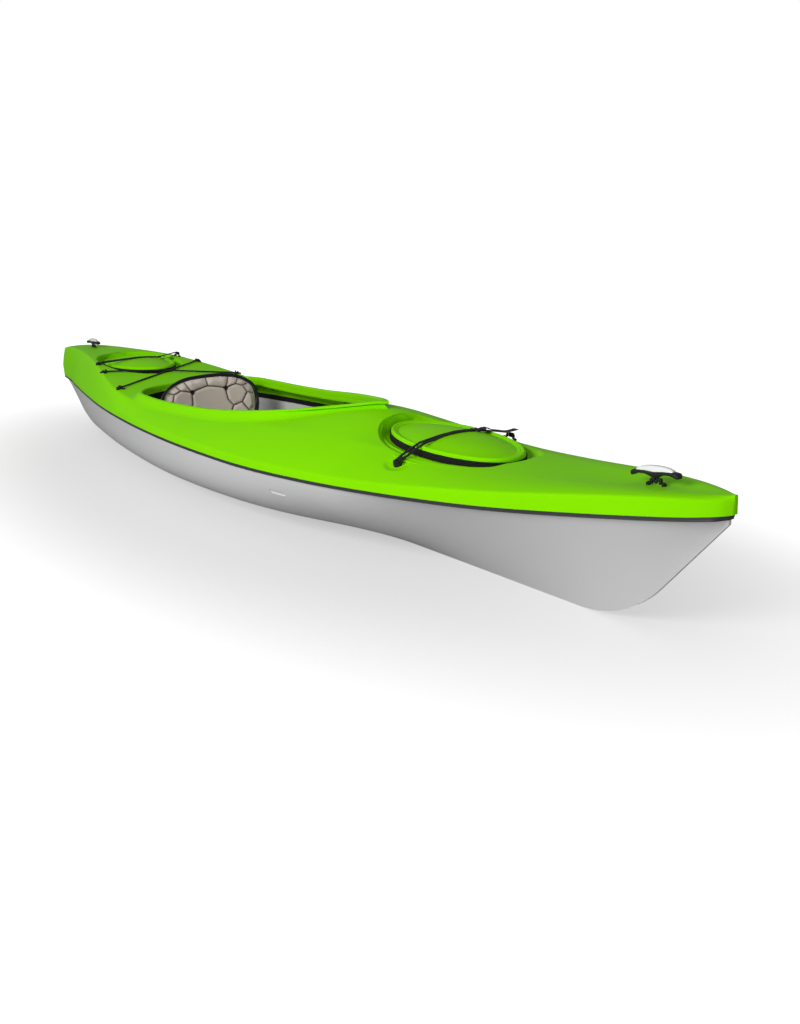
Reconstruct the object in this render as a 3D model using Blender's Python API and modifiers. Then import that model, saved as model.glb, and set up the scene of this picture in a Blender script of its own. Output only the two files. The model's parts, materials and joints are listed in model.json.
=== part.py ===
"""A recreational kayak in metres: bow towards +X, port side +Y, keel on the plane z = 0.

Hull and deck are lofts through a table of offsets, as a boat is drawn. Everything else seats on the surfaces that
these offsets give.
"""

import math
from dataclasses import dataclass
from functools import lru_cache

import bmesh
import bpy
import numpy as np
from mathutils import Euler, Matrix, Vector

# Driving sizes of the boat
LENGTH = 3.65
BEAM = 0.690
SEAM_HEIGHT = 0.217
HULL_WALL = 0.0040
DECK_WALL = 0.0040
CLEARANCE = 0.0003
HALF_LENGTH = LENGTH / 2
HALF_BEAM = BEAM / 2

# Offsets of the seam, deck and keel: share of the half length from midships, then the value there
BREADTH_SHARE = (
    (-1.0, 0.02), (-0.99, 0.165), (-0.953, 0.205), (-0.877, 0.267), (-0.815, 0.351), (-0.732, 0.446),
    (-0.63, 0.56), (-0.548, 0.646), (-0.466, 0.73), (-0.384, 0.803), (-0.274, 0.884), (-0.164, 0.945),
    (-0.055, 0.983), (0.055, 1.0), (0.164, 0.994), (0.274, 0.965), (0.384, 0.904), (0.493, 0.82),
    (0.603, 0.716), (0.712, 0.597), (0.822, 0.443), (0.877, 0.348), (0.932, 0.238), (0.975, 0.13),
    (0.992, 0.07), (1.0, 0.02),
)
SHEER_RISE = ((-1.0, -0.004), (-0.6, -0.004), (-0.2, 0.001), (0.2, 0.0), (0.4, 0.007), (0.55, 0.018),
              (0.7, 0.034), (0.85, 0.058), (1.0, 0.082))
BAND_HEIGHT = ((-1.0, 0.045), (-0.9, 0.030), (-0.5, 0.020), (0.45, 0.020), (0.7, 0.033), (0.9, 0.040), (1.0, 0.030))
RIDGE_SHARE = ((-1.0, 0.02), (-0.98, 0.12), (-0.93, 0.18), (-0.85, 0.215), (-0.74, 0.31), (-0.63, 0.44),
               (-0.52, 0.574), (-0.41, 0.70), (-0.356, 0.745), (-0.27, 0.765), (-0.164, 0.735), (-0.055, 0.71),
               (0.055, 0.685), (0.164, 0.635), (0.274, 0.595), (0.384, 0.528), (0.493, 0.442), (0.603, 0.377),
               (0.712, 0.30), (0.822, 0.220), (0.932, 0.118), (0.975, 0.06), (1.0, 0.015))
RIDGE_HEIGHT = ((-1.0, 0.330), (-0.93, 0.347), (-0.79, 0.357), (-0.685, 0.354), (-0.575, 0.345), (-0.465, 0.323),
                (-0.36, 0.299), (-0.27, 0.283), (-0.16, 0.279), (-0.055, 0.284), (0.055, 0.292), (0.164, 0.303),
                (0.274, 0.310), (0.384, 0.314), (0.55, 0.313), (0.7, 0.315), (0.82, 0.324), (0.93, 0.336),
                (1.0, 0.342))
CROWN_HEIGHT = ((-1.0, 0.332), (-0.93, 0.350), (-0.79, 0.355), (-0.65, 0.348), (-0.55, 0.336), (-0.44, 0.318),
                (-0.36, 0.302), (-0.30, 0.290), (0.0, 0.300), (0.165, 0.340), (0.22, 0.350), (0.275, 0.359),
                (0.33, 0.366), (0.385, 0.367), (0.415, 0.352), (0.445, 0.336), (0.49, 0.327), (0.6, 0.321),
                (0.7, 0.318), (0.85, 0.323), (0.93, 0.333), (1.0, 0.344))
DECK_STERN_RAKE = 0.035
DECK_BOW_RAKE = 0.014
BOW_BLUNTNESS = 0.43
RAKE_STARTS = 0.93
SIDE_BULGE = 0.004
BAND_LEAN = 0.004
RIDGE_ROUNDING = 0.010

# Hull sections: shares of breadth and of depth for the two handles of each section's curve
TOPSIDE_BREADTH = ((-1.0, 0.85), (-0.6, 0.94), (0.0, 0.985), (0.42, 0.92), (0.6, 0.66), (1.0, 0.50))
TOPSIDE_DEPTH = ((-1.0, 0.60), (-0.4, 0.50), (0.42, 0.50), (0.65, 0.66), (1.0, 0.66))
BILGE_BREADTH = ((-1.0, 0.30), (-0.85, 0.65), (-0.7, 0.95), (-0.2, 0.97), (0.1, 0.90), (0.25, 0.77), (0.4, 0.53),
                 (0.6, 0.33), (1.0, 0.15))
BILGE_DEPTH = ((-1.0, 0.27), (-0.85, 0.17), (-0.7, 0.09), (-0.2, 0.09), (0.1, 0.16), (0.25, 0.225),
               (0.4, 0.30), (0.5, 0.34), (0.6, 0.33), (1.0, 0.30))
KEEL_FLAT = ((-1.0, 0.004), (-0.75, 0.008), (-0.45, 0.030), (0.2, 0.030), (0.36, 0.012), (0.45, 0.007),
             (1.0, 0.004))
BOW_TOP_X = HALF_LENGTH - DECK_BOW_RAKE - 0.003
STEM_RAKE = math.radians(49.0)
FOREFOOT_RADIUS = 0.30
STERN_TOP_X = -HALF_LENGTH + DECK_STERN_RAKE + 0.003
STERN_RAKE = math.radians(53.0)
HEEL_RADIUS = 0.30
HULL_INSET = 0.004
STATIONS = 41
HULL_ROWS = 9
CAVITY_END = 0.965
CAVITY_TIP = 0.080

# Cockpit: outline as shares of its length from aft and of its half width
COCKPIT_AFT_X = -0.565
COCKPIT_LENGTH = 1.240
COCKPIT_WIDTH = 0.474
COCKPIT_OUTLINE = ((0.0, 0.0), (0.003, 0.34), (0.016, 0.64), (0.05, 0.87), (0.105, 0.98), (0.21, 1.0),
                   (0.37, 0.968), (0.53, 0.912), (0.645, 0.828), (0.73, 0.71), (0.81, 0.54), (0.89, 0.335),
                   (0.95, 0.165), (1.0, 0.0))
RIM_HEIGHT = ((-0.565, 0.306), (-0.45, 0.302), (-0.3, 0.301), (0.0, 0.309), (0.2, 0.324), (0.4, 0.345),
              (0.5, 0.359), (0.6, 0.374), (0.7, 0.390))
RIM_WALL = 0.004
RIM_LIP = 0.016
RIM_ROOT = 0.012
RIM_POINTS = 26

# Seam trim and the strips bonded inside the seam
TRIM_HEIGHT = 0.0110
TRIM_PROUD = 0.0007
BOND_HEIGHT = 0.018
BOND_WALL = 0.003
BOND_LEAN = 0.002

# Recess in the hull's side, as (x, z) corners
POCKET_OUTLINE = ((0.547, 0.168), (0.552, 0.144), (0.615, 0.142), (0.620, 0.166))
POCKET_DEPTH = 0.003

# Turns that stand a flat outline in the boat's long plane and across the boat
ACROSS_Y = (math.pi / 2, 0, 0)
ACROSS_X = (math.pi / 2, 0, math.pi / 2)

# Holds
BOW_BULKHEAD_X = 0.722
STERN_BULKHEAD_X = -0.640
BULKHEAD_WALL = 0.006
BULKHEAD_INSET = 0.0014

# Hatches
LID_LENGTH = 0.450
LID_WIDTH = 0.240
LID_WALL = 0.004
LID_SKIRT = 0.005
LID_CROWN = 0.022
GASKET_HEIGHT = 0.013
GASKET_PROUD = 0.003
GASKET_WIDTH = 0.016
WELL_FLOOR_WALL = 0.004
WELL_MARGIN = 0.016
WELL_DRAFT = 0.006
WELL_LEDGE = 0.030
LID_POINTS = 36
CORD_DIAMETER = 0.006
CORD_SPACING = 0.017
WEBBING_WIDTH = 0.020
WEBBING_WALL = 0.0016
STRAP_EYE_HEIGHT = 0.0125
WRAP_PLAY = 0.0013
STRAP_EYE_SPAN = WEBBING_WIDTH + 0.002
POST_RADIUS = 0.0030
POST_HEIGHT = 0.0080
POST_PLAY = 0.0008
POST_BASE_RADIUS = 0.0110
POST_BASE_HEIGHT = 0.0030
CLIP_RADIUS = 0.0100
CLIP_REACH = 0.022
CLIP_WALL = 0.0030
BUCKLE_START = 0.060
BUCKLE_END = 0.094
BUCKLE_WIDTH = 0.027
BUCKLE_WALL = 0.0060

# Fittings
HANDLE_LENGTH = 0.126
HANDLE_CORD = 0.004
HANDLE_EYE_SPAN = 0.018
HANDLE_EYE_HEIGHT = 0.0130
HANDLE_EYE_BAR = 0.0060
PADEYE_FOOT = 0.010
PADEYE_FOOT_WALL = 0.0030
EYE_BAR = 0.0045
EYE_WIDTH = 0.0050
BUNGEE_DIAMETER = 0.006
BUNGEE_EYE_SPAN = 0.009
BUNGEE_EYE_HEIGHT = 0.0120

HANDLE_RISE = 0.0100
GRIP_WALL = 0.0100
GRIP_WIDTH = 0.022
CAP_LENGTH = 0.092
CAP_HEIGHT = 0.012
BOW_HANDLE_X = 1.622
STERN_HANDLE_X = -1.515
BUNGEE_FORWARD = (-0.638, 0.238)
BUNGEE_AFT = (-0.885, 0.195)

# Seat
SEAT_X = -0.218
SEAT_LENGTH = 0.380
SEAT_WIDTH = 0.370
SEAT_BASE_Z = 0.052
SEAT_WALL = 0.006
SEAT_SIDE = 0.050
CUSHION_WALL = 0.028
RAIL_HALF_SPACING = 0.110
RAIL_WIDTH = 0.024
RAIL_LENGTH = 0.560
BACKREST_WIDTH = SEAT_WIDTH + 0.014
BACKREST_HEIGHT = 0.236
BACKREST_LEAN = math.radians(11.0)
BACKREST_HINGE = (SEAT_X - SEAT_LENGTH / 2 + 0.018, 0.0, 0.108)
BACKREST_SHELL_WALL = 0.005
BACKREST_PAD_WALL = 0.026
BACKREST_BEND = 0.020

BACKREST_FOOT = 0.014
BACK_WIDTH_SHARE = ((0.0, 0.74), (0.3, 0.93), (0.6, 1.0), (0.85, 0.965), (1.0, 0.87))
PAD_EDGE = 0.010
PAD_SHARE = 0.99
PAD_START = 0.03
PAD_SHARE_HIGH = 0.995
PAD_CHANNEL = 0.006
PAD_SEAMS = (
    ((0.0, 0.192), (0.090, 0.188)), ((0.090, 0.188), (0.155, 0.172)), ((0.0, 0.192), (0.0, 0.232)),
    ((0.095, 0.190), (0.085, 0.228)), ((0.055, 0.190), (0.040, 0.118)), ((0.040, 0.118), (0.0, 0.110)),
    ((0.110, 0.183), (0.120, 0.130)), ((0.120, 0.130), (0.085, 0.100)), ((0.085, 0.100), (0.040, 0.118)),
    ((0.120, 0.130), (0.175, 0.120)), ((0.085, 0.100), (0.080, 0.030)),
)
STUD_Y = 0.067
STUD_HEIGHT = 0.180
STUD_RADIUS = 0.0085
STUD_WALL = 0.0040
BRACKET_Y = 0.060
BRACKET_WALL = 0.008
PIN_RADIUS = 0.004

# Thigh pads
THIGH_PAD_AFT_X = 0.120
THIGH_PAD_LENGTH = 0.150
THIGH_PAD_Y = 0.235
THIGH_PAD_WIDTH = 0.055
THIGH_PAD_WALL = 0.022

# Foot braces
BRACE_AFT_X = 0.360
BRACE_BOW_X = 0.690
BRACE_Z = 0.150
BRACE_RAIL_HEIGHT = 0.022
BRACE_RAIL_WALL = 0.010
PEDAL_X = 0.525
PEDAL_WIDTH = 0.075
PEDAL_HEIGHT = 0.105
PEDAL_WALL = 0.010
PEDAL_DROP = 0.025
CARRIAGE_LENGTH = 0.070
CARRIAGE_WALL = 0.010
CARRIAGE_HEIGHT = 0.030
LEVER_LENGTH = 0.045
LEVER_WALL = 0.008
LEVER_HEIGHT = 0.016


@dataclass(frozen=True)
class Finish:
    """A surface finish, as linear colour, roughness and metallic value."""

    name: str
    color: tuple
    roughness: float
    metallic: float = 0.0


DECK_GREEN = Finish("deck_green", (0.20, 0.58, 0.0), 0.25)
HULL_WHITE = Finish("hull_white", (0.78, 0.78, 0.79), 0.25)
TRIM_CHARCOAL = Finish("trim_charcoal", (0.035, 0.035, 0.04), 0.55)
RUBBER_BLACK = Finish("rubber_black", (0.02, 0.02, 0.02), 0.75)
PLASTIC_BLACK = Finish("plastic_black", (0.018, 0.018, 0.02), 0.45)
CAP_WHITE = Finish("cap_white", (0.75, 0.75, 0.75), 0.30)
CORD_BLACK = Finish("cord_black", (0.015, 0.015, 0.02), 0.80)
WEBBING_BLACK = Finish("webbing_black", (0.02, 0.02, 0.02), 0.85)
PAD_TAUPE = Finish("pad_taupe", (0.45, 0.38, 0.33), 0.90)
FOAM_GREY = Finish("foam_grey", (0.10, 0.10, 0.10), 0.95)
STEEL = Finish("steel", (0.60, 0.60, 0.61), 0.30, 1.0)


def clear_scene():
    """Removes every object of the scene."""
    for obj in list(bpy.data.objects):
        bpy.data.objects.remove(obj, do_unlink=True)


def material_of(finish):
    """The material of a finish, made on its first use."""
    found = bpy.data.materials.get(finish.name)
    if found:
        return found
    made = bpy.data.materials.new(finish.name)
    made.use_nodes = True
    shader = made.node_tree.nodes["Principled BSDF"]
    shader.inputs["Base Color"].default_value = (*finish.color, 1.0)
    shader.inputs["Roughness"].default_value = finish.roughness
    shader.inputs["Metallic"].default_value = finish.metallic
    return made


def collection_of(name):
    """The collection of that name, made on its first use."""
    found = bpy.data.collections.get(name)
    if not found:
        found = bpy.data.collections.new(name)
        bpy.context.scene.collection.children.link(found)
    return found


def object_from(name, bm, finish, parent=None, place=(0, 0, 0)):
    """A piece made from a bmesh whose points are given from its own origin."""
    bmesh.ops.remove_doubles(bm, verts=bm.verts, dist=1e-6)
    bmesh.ops.recalc_face_normals(bm, faces=bm.faces)
    if bm.calc_volume(signed=True) < 0:
        bmesh.ops.reverse_faces(bm, faces=bm.faces)
    mesh = bpy.data.meshes.new(name)
    bm.to_mesh(mesh)
    bm.free()
    mesh.materials.append(material_of(finish))
    obj = bpy.data.objects.new(name, mesh)
    collection_of("kayak").objects.link(obj)
    obj.location = place
    obj.parent = parent
    mesh.shade_smooth()
    mesh.set_sharp_from_angle(angle=math.radians(35))
    return obj


def empty_at(name, place, turn=(0, 0, 0)):
    """An empty that carries a sub-assembly."""
    empty = bpy.data.objects.new(name, None)
    collection_of("kayak").objects.link(empty)
    empty.location = place
    empty.rotation_euler = turn
    return empty


def as_cutter(obj):
    """Hides an object from renders and moves it among the cutters."""
    obj.hide_render = True
    obj.display_type = "WIRE"
    collection_of("kayak").objects.unlink(obj)
    collection_of("cutters").objects.link(obj)
    return obj


def boolean(obj, other, operation, solver="EXACT"):
    """Adds a Boolean with a hidden helper to a piece."""
    if not other.hide_render:
        as_cutter(other)
    modifier = obj.modifiers.new(other.name, "BOOLEAN")
    modifier.operation = operation
    modifier.solver = solver
    modifier.object = other


def bevel(obj, width, segments=1, angle=math.radians(35)):
    """Rounds a piece's sharp edges."""
    modifier = obj.modifiers.new("edges", "BEVEL")
    modifier.width = width
    modifier.segments = segments
    modifier.limit_method = "ANGLE"
    modifier.angle_limit = angle


def smooth(points, at):
    """Values at the places `at` of the smooth curve through (place, value) points, which never overshoots them."""
    places, values = np.array(points, float).T
    step = np.diff(places)
    rise = np.diff(values) / step
    slope = np.concatenate([rise[:1], np.zeros(len(rise) - 1), rise[-1:]])
    before, after = rise[:-1], rise[1:]
    same_way = before * after > 0
    heavy, light = 2 * step[1:] + step[:-1], step[1:] + 2 * step[:-1]
    safe_before = np.where(same_way, before, 1.0)
    safe_after = np.where(same_way, after, 1.0)
    slope[1:-1] = np.where(same_way, (heavy + light) / (heavy / safe_before + light / safe_after), 0.0)
    at = np.clip(np.asarray(at, float), places[0], places[-1])
    i = np.clip(np.searchsorted(places, at, side="right") - 1, 0, len(step) - 1)
    t = (at - places[i]) / step[i]
    return (
        (1 + 2 * t) * (1 - t) ** 2 * values[i]
        + t * (1 - t) ** 2 * step[i] * slope[i]
        + t * t * (3 - 2 * t) * values[i + 1]
        + t * t * (t - 1) * step[i] * slope[i + 1]
    )


def stations(count):
    """Places along the boat, closer together towards both ends."""
    turn = np.linspace(-math.pi / 2, math.pi / 2, count)
    return HALF_LENGTH * (0.35 * np.sin(turn) + 0.65 * turn / (math.pi / 2))


def share_of(x):
    """A place along the boat as a share of the half length."""
    return np.asarray(x, float) / HALF_LENGTH


def seam_breadth(x):
    """Half breadth of the deck's lower edge."""
    return smooth(BREADTH_SHARE, share_of(x)) * HALF_BEAM


def seam_height(x):
    """Height of the joint between hull and deck."""
    return SEAM_HEIGHT + smooth(SHEER_RISE, share_of(x))


def ridge_breadth(x):
    """Half breadth at the crease between the deck's side and its top."""
    return smooth(RIDGE_SHARE, share_of(x)) * HALF_BEAM


def ridge_height(x):
    """Height of that crease."""
    return smooth(RIDGE_HEIGHT, share_of(x)) + SEAM_HEIGHT - 0.217


def crown_height(x):
    """Height of the deck on the centreline, as if the cockpit weren't cut."""
    return smooth(CROWN_HEIGHT, share_of(x)) + SEAM_HEIGHT - 0.217


def deck_half_section(x):
    """Outer half section of the deck as (y, z) points, from the seam up to the centreline."""
    half, low = float(seam_breadth(x)), float(seam_height(x))
    band = low + float(smooth(BAND_HEIGHT, share_of(x)))
    ridge_y, ridge_z = float(ridge_breadth(x)), float(ridge_height(x))
    crown = float(crown_height(x))
    lean = min(BAND_LEAN, half / 4)
    shoulder = np.array([half - lean, band])
    ridge = np.array([ridge_y, ridge_z])
    down = shoulder - ridge
    down = down / np.linalg.norm(down)
    inward = np.array([-1.0, (crown - ridge_z) / max(ridge_y, 0.01)])
    inward = inward / np.linalg.norm(inward)
    rounding = min(RIDGE_ROUNDING, ridge_y / 3)
    middle = (shoulder + ridge) / 2 + SIDE_BULGE * min(1.0, half / 0.15) * np.array([0.3, 0.95])
    return np.array([
        (half, low + CLEARANCE),
        shoulder,
        middle,
        ridge + down * rounding,
        ridge + inward * rounding,
        (ridge_y * 0.62, ridge_z + (crown - ridge_z) * 0.55),
        (ridge_y * 0.30, ridge_z + (crown - ridge_z) * 0.90),
        (0.0, crown),
    ])


@lru_cache
def deck_sections():
    """Places of the deck's stations and their half sections."""
    places = stations(STATIONS)
    return places, np.array([deck_half_section(x) for x in places])


def between(places, sections, x):
    """The section at x of the straight surface between two stations."""
    i = int(np.clip(np.searchsorted(places, x, side="right") - 1, 0, len(places) - 2))
    t = (x - places[i]) / (places[i + 1] - places[i])
    return (1 - t) * sections[i] + t * sections[i + 1]


def deck_height(x, y):
    """Height of the deck's outer surface above a point of the plan."""
    section = between(*deck_sections(), x)[::-1]
    return float(np.interp(abs(y), section[:, 0], section[:, 1]))


def deck_rake(section, x):
    """X of each point of a deck section: towards the ends the seam stays behind the deck above it."""
    share = abs(float(share_of(x)))
    growth = max(0.0, (share - RAKE_STARTS) / (1 - RAKE_STARTS)) ** 2
    reach = DECK_BOW_RAKE if x > 0 else DECK_STERN_RAKE
    low, high = section[0, 1], section[:, 1].max()
    level = (section[:, 1] - low) / max(high - low, 1e-6)
    least = BOW_BLUNTNESS if x > 0 else 0.0
    start, share = (0.6, 0.9) if x > 0 else (0.35, 1.5)
    rounding = (1 - level / 0.45).clip(0) ** 1.3 + share * ((level - start) / (1 - start)).clip(0) ** 2
    return x - math.copysign(1.0, x) * reach * growth * (least + (1 - least) * rounding)


def mitres(path):
    """Outward offset directions at the corners of an anticlockwise closed path, long enough to keep a band's width."""
    ahead = np.roll(path, -1, axis=0) - path
    ahead = ahead / np.linalg.norm(ahead, axis=1)[:, None]
    out = np.stack([ahead[:, 1], -ahead[:, 0]], axis=1)
    total = out + np.roll(out, 1, axis=0)
    return 2 * total / (total**2).sum(axis=1)[:, None]


@lru_cache
def seam_loop(out):
    """Plan of the deck's lower edge, anticlockwise from the bow, moved outwards by `out`."""
    places = stations(STATIONS)
    raked = [deck_rake(deck_half_section(x), x)[0] for x in places]
    half = np.stack([raked, seam_breadth(places)], axis=1)[::-1]
    loop = np.concatenate([half, half[::-1] * (1, -1)])
    return loop + out * mitres(loop)


def hull_breadth(x):
    """Half breadth of the hull at the seam, a little inside the deck's edge."""
    half = seam_loop(-HULL_INSET)[:STATIONS][::-1]
    return float(np.interp(x, half[:, 0], half[:, 1]))


def stem_profile(along, top_x, top_z, rake, radius):
    """Height of a raked stem with a round foot at the distance `along` from midships towards that end."""
    corner = abs(top_x) - top_z / math.tan(rake)
    tangent = radius * math.tan(rake / 2)
    if along <= corner - tangent:
        return 0.0
    if along >= corner + tangent * math.cos(rake):
        return (along - corner) * math.tan(rake)
    return radius - math.sqrt(max(radius**2 - (along - corner + tangent) ** 2, 0.0))


def keel_height(x):
    """Height of the keel line, which lies on the ground between the two stems."""
    if x >= 0:
        return stem_profile(x, BOW_TOP_X, float(seam_height(BOW_TOP_X)), STEM_RAKE, FOREFOOT_RADIUS)
    return stem_profile(-x, STERN_TOP_X, float(seam_height(STERN_TOP_X)), STERN_RAKE, HEEL_RADIUS)


def hull_half_section(x, inset=0.0, rows=HULL_ROWS):
    """Half section of the hull as (y, z) points from the seam down to the keel's flat, moved inwards by `inset`."""
    share = float(share_of(x))
    top = float(seam_height(x))
    low = min(keel_height(x), top - 0.002)
    depth = top - low
    half = max(hull_breadth(x), 0.002)
    flat = min(float(smooth(KEEL_FLAT, share)), half * 0.8)
    topside = float(smooth(TOPSIDE_BREADTH, share)), float(smooth(TOPSIDE_DEPTH, share))
    bilge = float(smooth(BILGE_BREADTH, share)), float(smooth(BILGE_DEPTH, share))
    handles = np.array([
        (half, top),
        (half * topside[0], low + depth * topside[1]),
        (flat + (half - flat) * bilge[0], low + depth * bilge[1]),
        (flat, low),
    ])
    t = np.linspace(0, 1, rows)[:, None]
    points = (
        (1 - t) ** 3 * handles[0] + 3 * t * (1 - t) ** 2 * handles[1]
        + 3 * t * t * (1 - t) * handles[2] + t**3 * handles[3]
    )
    if inset:
        points = moved_inwards(points, inset)
        points[0] = (half - inset, top)
        points[-1] = (points[-1, 0], low + inset)
        points[:, 0] = np.maximum(points[:, 0], 0.001)
    return points


def moved_inwards(points, wall):
    """A half section of the hull, moved towards the inside by the wall."""
    ahead = np.gradient(points, axis=0)
    ahead = ahead / np.linalg.norm(ahead, axis=1)[:, None]
    return points + wall * np.stack([ahead[:, 1], -ahead[:, 0]], axis=1)


@lru_cache
def hull_sections(inset):
    """Places of the hull's stations and their half sections, moved inwards by `inset`."""
    places = seam_loop(-HULL_INSET)[:STATIONS, 0][::-1]
    return places, np.array([hull_half_section(x, inset) for x in places])


def hull_inner_breadth(x, z):
    """Half breadth inside the hull at a height."""
    section = between(*hull_sections(HULL_WALL), x)[::-1]
    return float(np.interp(z, section[:, 1], section[:, 0]))


def hull_floor(x, y):
    """Height of the inside of the hull above a point of the plan."""
    section = between(*hull_sections(HULL_WALL), x)[::-1]
    return float(np.interp(abs(y), section[:, 0], section[:, 1]))


def both_sides(half_section, x):
    """A ring of 3-D points from a half section: starboard edge, over the centreline, to the port edge."""
    on_centre = half_section[-1][0] == 0
    port = half_section[::-1][1:] if on_centre else half_section[::-1]
    places = x if np.ndim(x) else np.full(len(half_section), x)
    port_x = places[::-1][1:] if on_centre else places[::-1]
    ring = [Vector((a, -y, z)) for a, (y, z) in zip(places, half_section)]
    return ring + [Vector((a, y, z)) for a, (y, z) in zip(port_x, port)]


def shell(name, outer, inner, first, finish):
    """A thin shell, open along one side and solid at both noses.

    `outer` holds a ring for each station, and `inner` a ring for each station from `first` on.
    """
    bm = bmesh.new()
    skin = [[bm.verts.new(p) for p in ring] for ring in outer]
    lining = [[bm.verts.new(p) for p in ring] for ring in inner]
    for rows in (skin, lining):
        for a, b in zip(rows, rows[1:]):
            for i in range(len(a) - 1):
                bm.faces.new((a[i], a[i + 1], b[i + 1], b[i]))
    bm.faces.new(skin[0])
    bm.faces.new(skin[-1])
    bm.faces.new(lining[0])
    bm.faces.new(lining[-1])
    last = first + len(inner) - 1
    for a, b in zip(skin[:first], skin[1:first]):
        bm.faces.new((a[0], a[-1], b[-1], b[0]))
    for a, b in zip(skin[last + 1:], skin[last + 2:]):
        bm.faces.new((a[0], a[-1], b[-1], b[0]))
    for end, beyond, lined in ((first, first - 1, lining[0]), (last, last + 1, lining[-1])):
        here, out = skin[end], skin[beyond]
        bm.faces.new((out[0], here[0], lined[0], lined[-1], here[-1], out[-1]))
    for step, (a, b) in enumerate(zip(lining, lining[1:])):
        c, d = skin[first + step], skin[first + step + 1]
        for edge in (0, -1):
            bm.faces.new((a[edge], b[edge], d[edge], c[edge]))
    return object_from(name, bm, finish)


def offset_inwards(section, wall):
    """A deck half section moved inwards by the wall, with its lower edge kept level."""
    ahead = np.gradient(section, axis=0)
    ahead = ahead / np.linalg.norm(ahead, axis=1)[:, None]
    moved = section + wall * np.stack([-ahead[:, 1], ahead[:, 0]], axis=1)
    moved[0] = (section[0, 0] - wall, section[0, 1])
    moved[-1] = (0.0, section[-1, 1] - wall)
    return moved


def make_hull():
    """The hull: one moulded shell with a flat on its keel and a small recess on each side."""
    places, sections = hull_sections(0.0)
    inside = [i for i, x in enumerate(places) if abs(x) < CAVITY_END * HALF_LENGTH - CAVITY_TIP]
    outer = [both_sides(section, x) for section, x in zip(sections, places)]
    inner = [both_sides(hull_sections(HULL_WALL)[1][i], places[i]) for i in inside]
    hull = shell("hull_shell", outer, inner, inside[0], HULL_WHITE)
    for side in (-1, 1):
        boolean(hull, pocket_cutter(side), "DIFFERENCE")
    return hull


def on_hull_side(side, x, z):
    """The point of the hull's outer face at a place along the boat and a height."""
    section = between(*hull_sections(0.0), x)[::-1]
    return Vector((x, side * float(np.interp(z, section[:, 1], section[:, 0])), z))


def pocket_cutter(side):
    """The slanted recess in the hull's side, sunk by less than the wall and square to the side's slope."""
    x, z = np.mean(POCKET_OUTLINE, axis=0)
    step = 0.01
    along = (on_hull_side(side, x + step, z) - on_hull_side(side, x - step, z)).normalized() * -side
    up = (on_hull_side(side, x, z + step) - on_hull_side(side, x, z - step)).normalized()
    path = [((a - x) * -side, b - z) for a, b in POCKET_OUTLINE]
    if side > 0:
        path = path[::-1]
    cutter = prism(f"pocket_{side_name(side)}", path, -POCKET_DEPTH, 0.02)
    frame = Matrix((along, up, along.cross(up))).transposed().to_4x4()
    frame.translation = on_hull_side(side, x, z)
    cutter.matrix_basis = frame
    return cutter


def side_name(side):
    """Name of a side of the boat."""
    return "port" if side > 0 else "starboard"


def make_deck():
    """The deck shell with cockpit rim and hatch wells, all one sheet."""
    places, sections = deck_sections()
    inside = [i for i, x in enumerate(places) if abs(x) < CAVITY_END * HALF_LENGTH - 0.03]
    outer = [both_sides(section, deck_rake(section, x)) for section, x in zip(sections, places)]
    inner = [both_sides(offset_inwards(sections[i], DECK_WALL), deck_rake(sections[i], places[i])) for i in inside]
    deck = shell("deck_shell", outer, inner, inside[0], DECK_GREEN)
    path = cockpit_path()
    boolean(deck, prism("cockpit_cut", path + RIM_WALL / 2 * mitres(path), 0.1, 0.6), "DIFFERENCE")
    boolean(deck, make_coaming(path), "UNION")
    for hatch in HATCHES:
        oval = hatch.oval(WELL_MARGIN + WELL_DRAFT + DECK_WALL / 2)
        boolean(deck, prism(hatch.name + "_cut", oval, 0.24, 0.45), "DIFFERENCE")
        boolean(deck, hatch.make_well(), "UNION", "MANIFOLD")
    return deck


def cockpit_path():
    """Plan of the cockpit's opening, anticlockwise from its forward point, with evenly spread points."""
    outline = np.array(COCKPIT_OUTLINE)
    outline = outline * (COCKPIT_LENGTH, COCKPIT_WIDTH / 2) + (COCKPIT_AFT_X, 0)
    reach = np.concatenate([[0], np.cumsum(np.linalg.norm(np.diff(outline, axis=0), axis=1))])
    even = np.linspace(0, reach[-1], RIM_POINTS)
    half = np.stack([smooth(np.stack([reach, outline[:, k]], axis=1), even) for k in (0, 1)], axis=1)
    return np.concatenate([half[::-1], half[1:-1] * (1, -1)])


def prism(name, path, low, high, finish=PLASTIC_BLACK, parent=None, place=(0, 0, 0), turn=(0, 0, 0)):
    """A closed prism above a path."""
    bm = bmesh.new()
    bottom = [bm.verts.new((x, y, low)) for x, y in path]
    top = [bm.verts.new((x, y, high)) for x, y in path]
    bm.faces.new(bottom[::-1])
    bm.faces.new(top)
    for i in range(len(path)):
        j = (i + 1) % len(path)
        bm.faces.new((bottom[i], bottom[j], top[j], top[i]))
    obj = object_from(name, bm, finish, parent, place)
    obj.rotation_euler = turn
    return obj


def ring_sweep(name, rings, finish, parent=None, place=(0, 0, 0)):
    """A closed band from rings of the same count, joined end to end."""
    bm = bmesh.new()
    rows = [[bm.verts.new(p) for p in ring] for ring in rings]
    for a, b in zip(rows, rows[1:] + rows[:1]):
        for i in range(len(a)):
            j = (i + 1) % len(a)
            bm.faces.new((a[i], a[j], b[j], b[i]))
    return object_from(name, bm, finish, parent, place)


def loft(name, rings, finish, parent=None, place=(0, 0, 0)):
    """A closed solid through rings of the same count, capped at both ends."""
    bm = bmesh.new()
    rows = [[bm.verts.new(p) for p in ring] for ring in rings]
    for a, b in zip(rows, rows[1:]):
        for i in range(len(a)):
            j = (i + 1) % len(a)
            bm.faces.new((a[i], a[j], b[j], b[i]))
    bm.faces.new(rows[0][::-1])
    bm.faces.new(rows[-1])
    return object_from(name, bm, finish, parent, place)


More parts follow.
